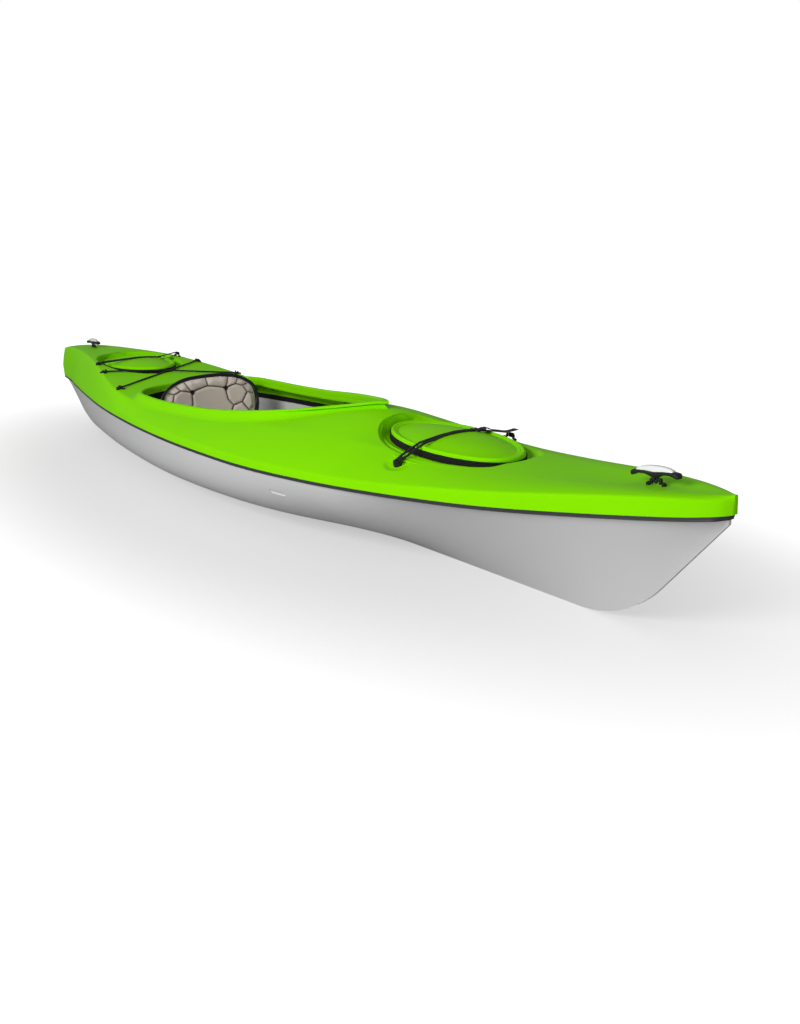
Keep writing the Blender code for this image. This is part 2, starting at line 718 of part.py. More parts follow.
def make_coaming(path):
    """The cockpit rim: a wall round the opening with an outward lip that comes to a point forward."""
    rings = []
    for (x, y), out in zip(path, mitres(path)):
        top = float(smooth(RIM_HEIGHT, x))
        deck = deck_height(x + out[0] * RIM_WALL, y + out[1] * RIM_WALL)
        profile = (
            (0.0, deck - RIM_ROOT), (RIM_WALL, deck - RIM_ROOT), (RIM_WALL, top - 2 * RIM_WALL),
            (RIM_LIP, top - 1.6 * RIM_WALL), (RIM_LIP + 0.001, top - RIM_WALL * 0.6), (RIM_LIP - 0.003, top),
            (RIM_WALL, top + 0.001), (0.0, top - 0.002),
        )
        rings.append([(x + u * out[0], y + u * out[1], z) for u, z in profile])
    return ring_sweep("coaming", rings, DECK_GREEN)


def box(name, size, finish, parent=None, place=(0, 0, 0), rounding=0.0, turn=(0, 0, 0)):
    """A box about its own centre, with rounded edges."""
    bm = bmesh.new()
    bmesh.ops.create_cube(bm, size=1.0)
    bmesh.ops.scale(bm, vec=size, verts=bm.verts)
    obj = object_from(name, bm, finish, parent, place)
    obj.rotation_euler = turn
    if rounding:
        bevel(obj, rounding)
    return obj


def rod(name, radius, length, finish, parent=None, place=(0, 0, 0), turn=(0, 0, 0), sides=12):
    """A round bar along its own Z, about its centre."""
    bm = bmesh.new()
    bmesh.ops.create_cone(bm, cap_ends=True, segments=sides, radius1=radius, radius2=radius, depth=length)
    obj = object_from(name, bm, finish, parent, place)
    obj.rotation_euler = turn
    return obj


def tube(name, points, radius, finish, parent=None, place=(0, 0, 0), sides=2, swell=None):
    """A round cord along points. `swell` gives the share of the radius at each point."""
    curve = bpy.data.curves.new(name, "CURVE")
    curve.dimensions = "3D"
    curve.bevel_depth = radius
    curve.bevel_resolution = sides
    curve.use_fill_caps = True
    spline = curve.splines.new("POLY")
    spline.points.add(len(points) - 1)
    for i, (target, point) in enumerate(zip(spline.points, points)):
        target.co = (*point, 1)
        target.radius = swell[i] if swell else 1.0
    curve.materials.append(material_of(finish))
    obj = bpy.data.objects.new(name, curve)
    collection_of("kayak").objects.link(obj)
    obj.location = place
    obj.parent = parent
    return obj


def ribbon(path, wall):
    """The closed outline of a band of that wall along an open path."""
    path = np.array(path, float)
    ahead = np.diff(path, axis=0)
    ahead = ahead / np.linalg.norm(ahead, axis=1)[:, None]
    side = np.stack([-ahead[:, 1], ahead[:, 0]], axis=1)
    total = np.concatenate([side[:1], side[:-1] + side[1:], side[-1:]])
    total[0] *= 2
    total[-1] *= 2
    mitre = 2 * total / (total**2).sum(axis=1)[:, None]
    return np.concatenate([path - mitre * wall / 2, (path + mitre * wall / 2)[::-1]])


def turns_left(a, b, c):
    """Whether the way from a over b to c bends upwards, so that a taut strap would lift off b."""
    return (b[0] - a[0]) * (c[1] - a[1]) - (b[1] - a[1]) * (c[0] - a[0]) >= 0


def seat_on_deck(x, y, heading, half_long, half_wide):
    """The frame of a fitting that stands on the deck: its X heads along `heading` and its Z leaves the deck.

    It's lifted until a foot of the half lengths given clears the deck everywhere.
    """
    step = 0.008
    normal = Vector((
        (deck_height(x - step, y) - deck_height(x + step, y)) / (2 * step),
        (deck_height(x, y - step) - deck_height(x, y + step)) / (2 * step),
        1,
    )).normalized()
    long = Vector((math.cos(heading), math.sin(heading), 0))
    long = (long - long.dot(normal) * normal).normalized()
    wide = normal.cross(long)
    place = Vector((x, y, deck_height(x, y)))
    highest = 0.0
    for u in np.linspace(-1, 1, 5):
        for v in np.linspace(-1, 1, 5):
            foot = place + long * (u * half_long) + wide * (v * half_wide)
            highest = max(highest, (deck_height(foot.x, foot.y) - foot.z) * normal.z)
    frame = Matrix((long, wide, normal)).transposed().to_4x4()
    frame.translation = place + normal * (highest + 2 * CLEARANCE)
    return frame


def padeye_reach(span, bar):
    """Half the length of a padeye."""
    return span / 2 + bar + PADEYE_FOOT


def padeye(name, seat, span, height, bar, width):
    """An arch on two feet along its own X, which a cord or a strap passes under."""
    inside, outside, end = span / 2, span / 2 + bar, padeye_reach(span, bar)
    outline = [
        (-end, 0), (-inside, 0), (-inside, height - bar), (inside, height - bar), (inside, 0), (end, 0),
        (end - 0.001, PADEYE_FOOT_WALL), (outside, PADEYE_FOOT_WALL + 0.001), (outside - 0.0005, height - 0.0015),
        (outside - 0.002, height), (-outside + 0.002, height), (-outside + 0.0005, height - 0.0015),
        (-outside, PADEYE_FOOT_WALL + 0.001), (-end + 0.001, PADEYE_FOOT_WALL),
    ]
    arch = prism(name, outline, -width / 2, width / 2, PLASTIC_BLACK)
    arch.matrix_world = seat @ Euler(ACROSS_Y).to_matrix().to_4x4()
    return arch


@dataclass(frozen=True)
class Hatch:
    """An oval hatch with its lid, gasket and hold-down strap. Lengths run from the lid's lower edge at its centre."""

    name: str
    x: float
    z: float
    slope: float
    anchor_y: float

    def tilt(self):
        """The turn that lays the hatch on its slope."""
        return Matrix.Rotation(-self.slope, 4, "Y")

    def frame(self):
        """The matrix from the hatch's own frame to the boat's."""
        return Matrix.Translation((self.x, 0, self.z)) @ self.tilt()

    def oval_local(self, out):
        """The lid's outline, moved outwards by `out`, in the hatch's own plane."""
        turn = np.linspace(0, 2 * math.pi, LID_POINTS, endpoint=False)
        edge = np.stack([LID_LENGTH / 2 * np.cos(turn), LID_WIDTH / 2 * np.sin(turn)], axis=1)
        normal = np.stack([np.cos(turn) / (LID_LENGTH / 2), np.sin(turn) / (LID_WIDTH / 2)], axis=1)
        return edge + out * normal / np.linalg.norm(normal, axis=1)[:, None]

    def oval(self, out):
        """That outline in the boat's plan."""
        return self.oval_local(out) * (math.cos(self.slope), 1) + (self.x, 0)

    def height_over(self, x, y):
        """Height of the deck above the hatch's own plane at a point of that plane."""
        world = self.frame() @ Vector((x, y, 0))
        return deck_height(world.x, world.y) - world.z

    def floor(self):
        """Height of the well's floor in the hatch's own frame."""
        return -GASKET_HEIGHT - 2 * CLEARANCE

    def make_well(self):
        """The recess round the lid, with the ledge that the gasket sits on."""
        floor = self.floor()
        ledge, foot = self.oval_local(-WELL_LEDGE), self.oval_local(WELL_MARGIN)
        foot_out = self.oval_local(WELL_MARGIN + DECK_WALL)
        top, top_out = self.oval_local(WELL_MARGIN + WELL_DRAFT), self.oval_local(WELL_MARGIN + WELL_DRAFT + DECK_WALL)
        frame = self.frame()
        rings = []
        for a, b, c, d, e in zip(ledge, foot, top, top_out, foot_out):
            rise_c, rise_d = self.height_over(*c), self.height_over(*d)
            profile = (
                (*a, floor - WELL_FLOOR_WALL), (*a, floor), (*b, floor),
                (*c, max(rise_c, floor + 0.002)), (*d, max(rise_d - DECK_WALL / 2, floor - 0.001)),
                (*e, floor - WELL_FLOOR_WALL),
            )
            rings.append([frame @ Vector(p) for p in profile])
        return ring_sweep(self.name + "_well", rings, DECK_GREEN)

    def lid_top(self, share):
        """Height of the lid's outer face at a share of the way from its centre to its edge."""
        points = ((0.0, LID_CROWN), (0.45, LID_CROWN - 0.003), (0.72, LID_CROWN - 0.009), (0.80, 0.0085),
                  (0.86, 0.0095), (0.93, 0.0135), (0.975, 0.012), (1.0, 0.004))
        return float(smooth(points, share))

    def make_lid(self, parent):
        """The lid: a domed shell with a raised rim and a skirt that presses on the gasket."""
        shares = (1.0, 0.985, 0.955, 0.92, 0.86, 0.79, 0.70, 0.5, 0.25)
        bm = bmesh.new()
        outer, inner = [], []
        edge = self.oval_local(0)
        for share in shares:
            height = LID_SKIRT + self.lid_top(share)
            outer.append([bm.verts.new((*(p * share), height)) for p in edge])
        base = [bm.verts.new((*p, 0)) for p in edge]
        for share in (0.955, 0.92, 0.86, 0.79, 0.5):
            height = LID_SKIRT + self.lid_top(share) - LID_WALL
            inner.append([bm.verts.new((*(p * share), height)) for p in edge])
        lip = [bm.verts.new((*(p * 0.955), 0)) for p in edge]
        count = len(edge)
        for rows in ([base, *outer], [lip, *inner], [base, lip]):
            for a, b in zip(rows, rows[1:]):
                for i in range(count):
                    j = (i + 1) % count
                    bm.faces.new((a[i], a[j], b[j], b[i]))
        for ring, height in ((outer[-1], LID_CROWN), (inner[-1], LID_CROWN - LID_WALL)):
            centre = bm.verts.new((0, 0, LID_SKIRT + height))
            for i in range(count):
                bm.faces.new((ring[i], ring[(i + 1) % count], centre))
        return object_from(self.name + "_lid", bm, DECK_GREEN, parent)

    def make_gasket(self, parent):
        """The rubber ring under the lid's edge."""
        inside, outside = self.oval_local(GASKET_PROUD - GASKET_WIDTH), self.oval_local(GASKET_PROUD)
        high, low = -CLEARANCE, -CLEARANCE - GASKET_HEIGHT
        rings = [[(*a, low), (*b, low), (*b, high), (*a, high)] for a, b in zip(inside, outside)]
        return ring_sweep(self.name + "_gasket", rings, RUBBER_BLACK, parent)

    def anchor_seat(self, side):
        """The frame of the strap's anchor on one side, standing on the deck."""
        if side < 0:
            return seat_on_deck(self.x, -self.anchor_y, 0.0, POST_BASE_RADIUS, POST_BASE_RADIUS)
        return seat_on_deck(self.x, self.anchor_y, 0.0, padeye_reach(STRAP_EYE_SPAN, EYE_BAR), EYE_WIDTH / 2)

    def bar_centre(self):
        """Centre of the port anchor's bar, which the strap turns about, in the boat's frame."""
        return self.anchor_seat(1) @ Vector((0, 0, STRAP_EYE_HEIGHT - EYE_BAR / 2))

    def lie(self, y):
        """Height at which a taut strap would lie over the lid, at a distance from the centreline."""
        over = self.taut((-LID_WIDTH / 2, -LID_CROWN), [(LID_WIDTH / 2, -LID_CROWN)], 0.0)
        return float(np.interp(y, *np.array(over).T))

    def taut(self, start, ends, lift):
        """Points of a taut strap over the lid in the hatch's own frame, `lift` above all that it crosses."""
        shares = np.linspace(-0.975, 0.975, 40)
        over = [(LID_WIDTH / 2 * t, LID_SKIRT + self.lid_top(abs(t)) + lift) for t in shares]
        crossed = [start] + [p for p in over if start[0] < p[0] < ends[0][0]] + ends
        kept = []
        for point in crossed:
            while len(kept) > 1 and turns_left(kept[-2], kept[-1], point):
                kept.pop()
            kept.append(point)
        return kept

    def make_strap(self):
        """The hold-down strap: clip, doubled cord and buckle, then webbing that turns on the port anchor's bar."""
        bar = self.frame().inverted() @ self.bar_centre()
        carrier = empty_at(self.name + "_strap", self.bar_centre(), self.tilt().to_euler())
        level = POST_BASE_HEIGHT + CLEARANCE + CLIP_WALL / 2
        clip_frame = self.frame().inverted() @ self.anchor_seat(-1) @ Matrix.Translation((0, 0, level))
        self.make_clip(carrier, Matrix.Translation(-bar) @ clip_frame)
        self.make_cord(carrier, bar, clip_frame)
        middle, length = (BUCKLE_START + BUCKLE_END) / 2, BUCKLE_END - BUCKLE_START
        slope = math.atan2(self.lie(BUCKLE_END) - self.lie(BUCKLE_START), length)
        level = self.lie(middle) + 2 * CLEARANCE + BUCKLE_WALL / 2
        size = (BUCKLE_WIDTH, length, BUCKLE_WALL)
        box(self.name + "_strap_buckle", size, PLASTIC_BLACK, carrier, Vector((0, middle, level)) - bar, 0.0015,
            (slope, 0, 0))
        self.make_webbing(carrier, bar, level + math.tan(slope) * length / 2)

    def make_clip(self, carrier, frame):
        """The clip at the cord's end: a plate with a hole that drops over the starboard anchor's post."""
        name = self.name + "_strap_clip"
        plate = rod(name, CLIP_RADIUS, CLIP_WALL, PLASTIC_BLACK, carrier, sides=16)
        plate.matrix_local = frame
        start = CLIP_RADIUS * 0.6
        size = (CORD_SPACING + CORD_DIAMETER, CLIP_REACH - start, CLIP_WALL + 0.003)
        tongue = box(name + "_tongue", size, PLASTIC_BLACK, carrier)
        tongue.matrix_local = frame @ Matrix.Translation((0, (CLIP_REACH + start) / 2, 0.0015))
        boolean(plate, tongue, "UNION")
        hole = rod(name + "_hole", POST_RADIUS + POST_PLAY, 0.03, PLASTIC_BLACK, carrier, frame.translation)
        boolean(plate, hole, "DIFFERENCE")

    def make_cord(self, carrier, bar, clip_frame):
        """The doubled elastic cord from the clip to its bight at the buckle."""
        radius = CORD_DIAMETER / 2
        half = CORD_SPACING / 2
        bend_y = BUCKLE_START - 2 * CLEARANCE - radius - half
        end_z = self.lie(bend_y) + radius + 2 * CLEARANCE
        fall = (self.lie(BUCKLE_START) - self.lie(bend_y)) / (BUCKLE_START - bend_y)
        lead = [clip_frame @ Vector((0, CLIP_REACH + CLEARANCE + t * CORD_DIAMETER, 0.0015)) for t in (0, 1)]
        run = [tuple(p.yz) for p in lead[:1]]
        run += self.taut(tuple(lead[1].yz), [(bend_y, end_z)], radius + 2 * CLEARANCE)
        points = [(half, y, z) for y, z in run]
        for turn in np.linspace(0, math.pi, 7)[1:-1]:
            reach = half * math.sin(turn)
            points.append((half * math.cos(turn), bend_y + reach, end_z + fall * reach))
        points += [(-half, y, z) for y, z in run[::-1]]
        tube(self.name + "_strap_cord", [Vector(p) - bar for p in points], radius, CORD_BLACK, carrier)

    def make_webbing(self, carrier, bar, start_z):
        """The flat strap from the buckle over the lid and round the bar of the port anchor."""
        radius = EYE_BAR * 0.75 + WRAP_PLAY + WEBBING_WALL / 2
        turns = np.radians(np.arange(140, -150, -20))
        round_bar = [(bar.y + radius * math.cos(t), bar.z + radius * math.sin(t)) for t in turns]
        over = self.taut((BUCKLE_END + 2 * CLEARANCE, start_z), round_bar[:6], WEBBING_WALL / 2 + 2 * CLEARANCE)
        path = [(y - bar.y, z - bar.z) for y, z in over + round_bar[6:]]
        prism(
            self.name + "_strap_webbing", ribbon(path, WEBBING_WALL), -WEBBING_WIDTH / 2, WEBBING_WIDTH / 2,
            WEBBING_BLACK, carrier, turn=ACROSS_X,
        )

    def make_anchors(self):
        """The post anchor to starboard and the bar anchor to port."""
        seat = self.anchor_seat(-1)
        base = rod(self.name + "_anchor_starboard", POST_BASE_RADIUS, POST_BASE_HEIGHT, PLASTIC_BLACK, sides=16)
        base.matrix_world = seat @ Matrix.Translation((0, 0, POST_BASE_HEIGHT / 2))
        post = rod(base.name + "_post", POST_RADIUS, POST_HEIGHT, PLASTIC_BLACK)
        middle = seat @ Vector((0, 0, POST_BASE_HEIGHT + CLEARANCE + CLIP_WALL / 2))
        post.matrix_world = Matrix.Translation(middle) @ self.tilt()
        boolean(base, post, "UNION")
        padeye(self.name + "_anchor_port", self.anchor_seat(1), STRAP_EYE_SPAN, STRAP_EYE_HEIGHT, EYE_BAR, EYE_WIDTH)

    def make(self):
        """Lid, gasket, strap and anchors."""
        carrier = empty_at(self.name + "_hatch", (self.x, 0, self.z), self.tilt().to_euler())
        self.make_lid(carrier)
        self.make_gasket(carrier)
        self.make_anchors()
        self.make_strap()


FRONT_HATCH = Hatch("front", 0.986, 0.309, math.radians(-2.2), 0.188)
REAR_HATCH = Hatch("rear", -1.020, 0.318, 0.0, 0.170)
HATCHES = (FRONT_HATCH, REAR_HATCH)


def make_trim():
    """The dark band that covers the joint below the deck's edge."""
    outer = seam_loop(-TRIM_PROUD)
    inner = seam_loop(-HULL_INSET + CLEARANCE)
    rings = []
    for a, b in zip(outer, inner):
        high = float(seam_height(a[0]))
        low = high - TRIM_HEIGHT
        rings.append([(*b, low), (*a, low), (*a, high), (*b, high)])
    return ring_sweep("seam_trim", rings, TRIM_CHARCOAL)


def make_bond(side):
    """The strip that bonds deck to hull inside, beside the cockpit."""
    rings = []
    for x in np.linspace(STERN_BULKHEAD_X + BULKHEAD_WALL, BOW_BULKHEAD_X - BULKHEAD_WALL, 17):
        out = hull_inner_breadth(x, float(seam_height(x)) - 0.0001) - 2 * CLEARANCE
        middle = float(seam_height(x))
        low = hull_inner_breadth(x, middle - BOND_HEIGHT / 2) - 2 * CLEARANCE
        rings.append([
            (x, side * low, middle - BOND_HEIGHT / 2), (x, side * out, middle),
            (x, side * (out - BOND_LEAN), middle + BOND_HEIGHT / 2),
            (x, side * (out - BOND_LEAN - BOND_WALL), middle + BOND_HEIGHT / 2),
            (x, side * (low - BOND_WALL), middle - BOND_HEIGHT / 2),
        ])
    return loft("inner_seam_" + side_name(side), rings, RUBBER_BLACK)


def bulkhead_ring(x, inset):
    """The inside of hull and deck at a station as one loop, drawn in by `inset`."""
    hull = between(*hull_sections(HULL_WALL), x)
    places, sections = deck_sections()
    deck = offset_inwards(between(places, sections, x), DECK_WALL)
    low = moved_inwards(hull, inset)
    low[0] = (min(hull[0, 0], deck[0, 0]) - inset, hull[0, 1])
    low[-1] = (hull[-1, 0], hull[-1, 1] + inset)
    high = offset_inwards(deck, inset)[1:]
    high[-1] = (0.0, deck[-1, 1] - inset)
    half = np.concatenate([high[::-1], low])
    return [Vector((x, y, z)) for y, z in half] + [Vector((x, -y, z)) for y, z in half[::-1][:-1]]


def make_bulkhead(name, x):
    """A foam-edged wall across the boat."""
    rings = [bulkhead_ring(x + t, BULKHEAD_INSET) for t in (-BULKHEAD_WALL / 2, BULKHEAD_WALL / 2)]
    return loft(name, rings, FOAM_GREY)


def make_handle(name, x):
    """A carry handle: a grip with a domed cap on a cord loop that turns on the bar of its padeye."""
    reach = padeye_reach(HANDLE_EYE_SPAN, HANDLE_EYE_BAR)
    seat = seat_on_deck(x, 0, 0, reach, HANDLE_EYE_BAR / 2)
    padeye(name + "_padeye", seat, HANDLE_EYE_SPAN, HANDLE_EYE_HEIGHT, HANDLE_EYE_BAR, HANDLE_EYE_BAR)
    bar = seat @ Vector((0, 0, HANDLE_EYE_HEIGHT - HANDLE_EYE_BAR / 2))
    carrier = empty_at(name, bar, seat.to_euler())
    bend = HANDLE_EYE_BAR * 0.72 + CLEARANCE + HANDLE_CORD / 2
    turns = np.radians(np.linspace(0, -180, 9))
    loop = [Vector((0, bend * math.cos(t), bend * math.sin(t))) for t in turns]
    top = HANDLE_RISE - CLEARANCE
    points = [Vector((0, bend, top))] + loop + [Vector((0, -bend, top))]
    tube(name + "_cord", points, HANDLE_CORD / 2, CORD_BLACK, carrier)
    half = HANDLE_LENGTH / 2
    grip = [
        (-half, -0.005), (-0.72 * half, -0.0005), (-0.4 * half, 0), (0.4 * half, 0), (0.72 * half, -0.0005),
        (half, -0.005), (half, 0.004), (0.85 * half, GRIP_WALL), (-0.85 * half, GRIP_WALL), (-half, 0.004),
    ]
    bar_piece = prism(
        name + "_grip", grip, -GRIP_WIDTH / 2, GRIP_WIDTH / 2, PLASTIC_BLACK, carrier, (0, 0, HANDLE_RISE), ACROSS_Y,
    )
    bevel(bar_piece, 0.0025)
    cap = [(CAP_LENGTH / 2 * t, CAP_HEIGHT * math.sqrt(1 - t * t * 0.97) - CAP_HEIGHT * 0.17)
           for t in np.linspace(1, -1, 13)]
    cap = [(-CAP_LENGTH / 2, 0), (CAP_LENGTH / 2, 0)] + cap
    dome = prism(
        name + "_cap", cap[:2] + [p for p in cap[2:] if p[1] > 0.0005], -GRIP_WIDTH * 0.4, GRIP_WIDTH * 0.4, CAP_WHITE,
        carrier, (0, 0, HANDLE_RISE + GRIP_WALL + CLEARANCE), ACROSS_Y,
    )
    bevel(dome, 0.002)


def make_bungee(name, forward, aft, lift):
    """A deck bungee from a forward eye over the deck to an aft eye on the other side, with a knot behind each."""
    start, end = Vector((*forward, 0)), Vector((*aft, 0))
    way = (end - start).normalized()
    across = math.atan2(way.y, way.x) + math.pi / 2
    reach = padeye_reach(BUNGEE_EYE_SPAN, EYE_BAR)
    radius = BUNGEE_DIAMETER / 2
    seats = []
    for suffix, place in (("forward", forward), ("aft", aft)):
        seat = seat_on_deck(*place, across, reach, EYE_WIDTH / 2)
        label = f"deck_eye_{suffix}_{side_name(1 if place[1] > 0 else -1)}"
        padeye(label, seat, BUNGEE_EYE_SPAN, BUNGEE_EYE_HEIGHT, EYE_BAR, EYE_WIDTH)
        seats.append(seat @ Vector((0, 0, (BUNGEE_EYE_HEIGHT - EYE_BAR) / 2)))
    length = (end - start).length
    middle = start.y / (start.y - end.y)
    points, swell = [], []
    tail = 0.022
    distances = np.concatenate([[-tail, -tail * 0.62, -tail * 0.5], np.linspace(0, length, 23),
                                [length + tail * 0.5, length + tail * 0.62, length + tail]])
    for d in distances:
        flat = start + way * d
        rest = deck_height(flat.x, flat.y) + radius + 3 * CLEARANCE
        share = min(max(d / length, 0), 1)
        eye = seats[0].z * (1 - share) + seats[1].z * share
        near_eye = max(0.0, 1 - min(abs(d), abs(length - d)) / 0.03)
        bump = lift * math.exp(-(((share - middle) * length / 0.03) ** 2))
        height = max(rest + bump, rest * (1 - near_eye) + eye * near_eye if d > 0 and d < length else eye)
        points.append(Vector((flat.x, flat.y, height)))
        swell.append(1.6 if d <= -tail * 0.62 or d >= length + tail * 0.62 else 1.0)
    tube(name, points, radius, CORD_BLACK, swell=swell)


def make_seat_rail(side):
    """A rail bonded to the hull's floor, which the seat slides on."""
    rings = []
    inside, outside = RAIL_HALF_SPACING - RAIL_WIDTH / 2, RAIL_HALF_SPACING + RAIL_WIDTH / 2
    for x in np.linspace(SEAT_X - RAIL_LENGTH / 2, SEAT_X + RAIL_LENGTH / 2, 9):
        low_in, low_out = hull_floor(x, inside) + 2 * CLEARANCE, hull_floor(x, outside) + 2 * CLEARANCE
        rings.append([
            (x, side * inside, low_in), (x, side * outside, low_out),
            (x, side * outside, SEAT_BASE_Z - CLEARANCE), (x, side * inside, SEAT_BASE_Z - CLEARANCE),
        ])
    return loft("seat_rail_" + side_name(side), rings, PLASTIC_BLACK)


def make_seat():
    """The sliding seat: a pan with raised sides, its cushion, and the brackets and pin that carry the backrest."""
    carrier = empty_at("seat", (SEAT_X, 0, SEAT_BASE_Z))
    half = SEAT_WIDTH / 2
    path = [(-half, SEAT_SIDE), (-half + 0.004, 0.018), (-half + 0.018, 0.006), (-half + 0.035, 0.0)]
    path = [(y, z + SEAT_WALL / 2) for y, z in path + [(-y, z) for y, z in path[::-1]]]
    pan = prism("seat_pan", ribbon(path, SEAT_WALL), -SEAT_LENGTH / 2, SEAT_LENGTH / 2, PLASTIC_BLACK, carrier,
                turn=ACROSS_X)
    hinge = Vector(BACKREST_HINGE) - Vector((SEAT_X, 0, SEAT_BASE_Z))
    for side in (-1, 1):
        foot = SEAT_WALL - 0.002
        bracket = box(
            f"seat_bracket_{side_name(side)}", (0.030, BRACKET_WALL, hinge.z + 0.010 - foot), PLASTIC_BLACK, carrier,
            (hinge.x, side * BRACKET_Y, (hinge.z + 0.010 + foot) / 2),
        )
        boolean(pan, bracket, "UNION")
    hole = rod("bracket_hole", PIN_RADIUS + CLEARANCE, 0.2, PLASTIC_BLACK, carrier, hinge, (math.pi / 2, 0, 0))
    boolean(pan, hole, "DIFFERENCE")
    length = 2 * BRACKET_Y + BRACKET_WALL + 0.008
    rod("backrest_pin", PIN_RADIUS, length, STEEL, carrier, hinge, (math.pi / 2, 0, 0))
    size = (SEAT_LENGTH - 0.07, SEAT_WIDTH - 0.09, CUSHION_WALL)
    cushion = box("seat_cushion", size, PAD_TAUPE, carrier, (0.025, 0, SEAT_WALL + CLEARANCE + CUSHION_WALL / 2))
    bevel(cushion, 0.008, 2)


def back_half_width(t):
    """Half width of the backrest at a share of its height."""
    return BACKREST_WIDTH / 2 * float(smooth(BACK_WIDTH_SHARE, t))


def back_top(u):
    """Height of the backrest's upper edge above its hinge at a share of its half width."""
    return BACKREST_HEIGHT * (1 - 0.17 * abs(u) ** 2.6)


def back_point(u, t, forward):
    """A point of the backrest in its own frame: share across, share of the height, distance in front of the shell."""
    low = BACKREST_FOOT
    y = u * back_half_width(t)
    z = low + t * (back_top(u) - low)
    bend = BACKREST_BEND * (y / (BACKREST_WIDTH / 2)) ** 2
    return Vector((bend + forward, y, z))


def seam_depth(y, z):
    """Depth of the backrest's sewn channels at a point of its face."""
    nearest = 1.0
    for (ya, za), (yb, zb) in PAD_SEAMS:
        for mirror in (-1, 1):
            a, b, p = np.array((mirror * ya, za)), np.array((mirror * yb, zb)), np.array((y, z))
            t = np.clip(np.dot(p - a, b - a) / np.dot(b - a, b - a), 0, 1)
            nearest = min(nearest, float(np.linalg.norm(p - a - t * (b - a))))
    return PAD_CHANNEL * math.exp(-((nearest / 0.006) ** 2))


def make_backrest():
    """The backrest: a bent shell on the hinge pin, its padded face with sewn channels, and two studs."""
    carrier = empty_at("backrest", BACKREST_HINGE, (0, -BACKREST_LEAN, 0))
    columns, rows = np.linspace(-1, 1, 13), np.linspace(0, 1, 9)
    front = [[back_point(u, t, 0) for u in columns] for t in rows]
    back = [[back_point(u, t, -BACKREST_SHELL_WALL) for u in columns] for t in rows]
    shell_piece = slab("backrest_shell", front, back, PLASTIC_BLACK, carrier)
    width = 2 * (BRACKET_Y - BRACKET_WALL / 2 - 0.001)
    knuckle = box("backrest_knuckle", (0.018, width, 0.032), PLASTIC_BLACK, carrier)
    boolean(shell_piece, knuckle, "UNION")
    hole = rod("backrest_hole", PIN_RADIUS + CLEARANCE, 0.3, PLASTIC_BLACK, carrier, (0, 0, 0), (math.pi / 2, 0, 0))
    boolean(shell_piece, hole, "DIFFERENCE")

    columns = np.sin(np.linspace(-math.pi / 2, math.pi / 2, 29)) * 0.35 + np.linspace(-1, 1, 29) * 0.65
    rows = np.linspace(0, 1, 19)
    face, rear = [], []
    for t in rows:
        face.append([])
        rear.append([])
        for u in columns:
            base = back_point(u * PAD_SHARE, PAD_START + t * (PAD_SHARE_HIGH - PAD_START), 3 * CLEARANCE)
            edge = min((1 - abs(u)) * back_half_width(t), t * BACKREST_HEIGHT, (1 - t) * BACKREST_HEIGHT)
            crown = PAD_EDGE + (BACKREST_PAD_WALL - PAD_EDGE) * math.sqrt(1 - (1 - min(edge / 0.03, 1)) ** 2)
            depth = seam_depth(base.y, base.z) * min(edge / 0.012, 1)
            rear[-1].append(base)
            face[-1].append(base + Vector((crown - depth, 0, 0)))
    slab("backrest_pad", face, rear, PAD_TAUPE, carrier)
    for side in (-1, 1):
        height = STUD_HEIGHT
        around = [BACKREST_BEND * ((abs(STUD_Y) + r) / (BACKREST_WIDTH / 2)) ** 2 for r in (-STUD_RADIUS, STUD_RADIUS)]
        front_x = max(around) + BACKREST_PAD_WALL + 2 * CLEARANCE + STUD_WALL / 2
        rod(f"backrest_stud_{side_name(side)}", STUD_RADIUS, STUD_WALL, PLASTIC_BLACK, carrier,
            (front_x, side * STUD_Y, height), (0, math.pi / 2, 0), 16)


def slab(name, front, back, finish, parent):
    """A closed slab between two grids of points with the same rows and columns."""
    bm = bmesh.new()
    grids = [[[bm.verts.new(p) for p in row] for row in grid] for grid in (front, back)]
    for grid in grids:
        for a, b in zip(grid, grid[1:]):
            for i in range(len(a) - 1):
                bm.faces.new((a[i], a[i + 1], b[i + 1], b[i]))
    a, b = grids
    rows, columns = len(front), len(front[0])
    rim = [(0, i) for i in range(columns)] + [(j, columns - 1) for j in range(1, rows)]
    rim += [(rows - 1, i) for i in range(columns - 2, -1, -1)] + [(j, 0) for j in range(rows - 2, 0, -1)]
    for (j, i), (l, k) in zip(rim, rim[1:] + rim[:1]):
        bm.faces.new((a[j][i], a[l][k], b[l][k], b[j][i]))
    return object_from(name, bm, finish, parent)


def brace_line(side):
    """Both ends of a foot-brace rail's outer face: inside the hull's wall, at the height of the brace."""
    ends = []
    for x in (BRACE_AFT_X, BRACE_BOW_X):
        y = min(hull_inner_breadth(x, BRACE_Z + t * BRACE_RAIL_HEIGHT / 2) for t in (-1, 0, 1)) - 2 * CLEARANCE
        ends.append(Vector((x, side * y, BRACE_Z)))
    return ends


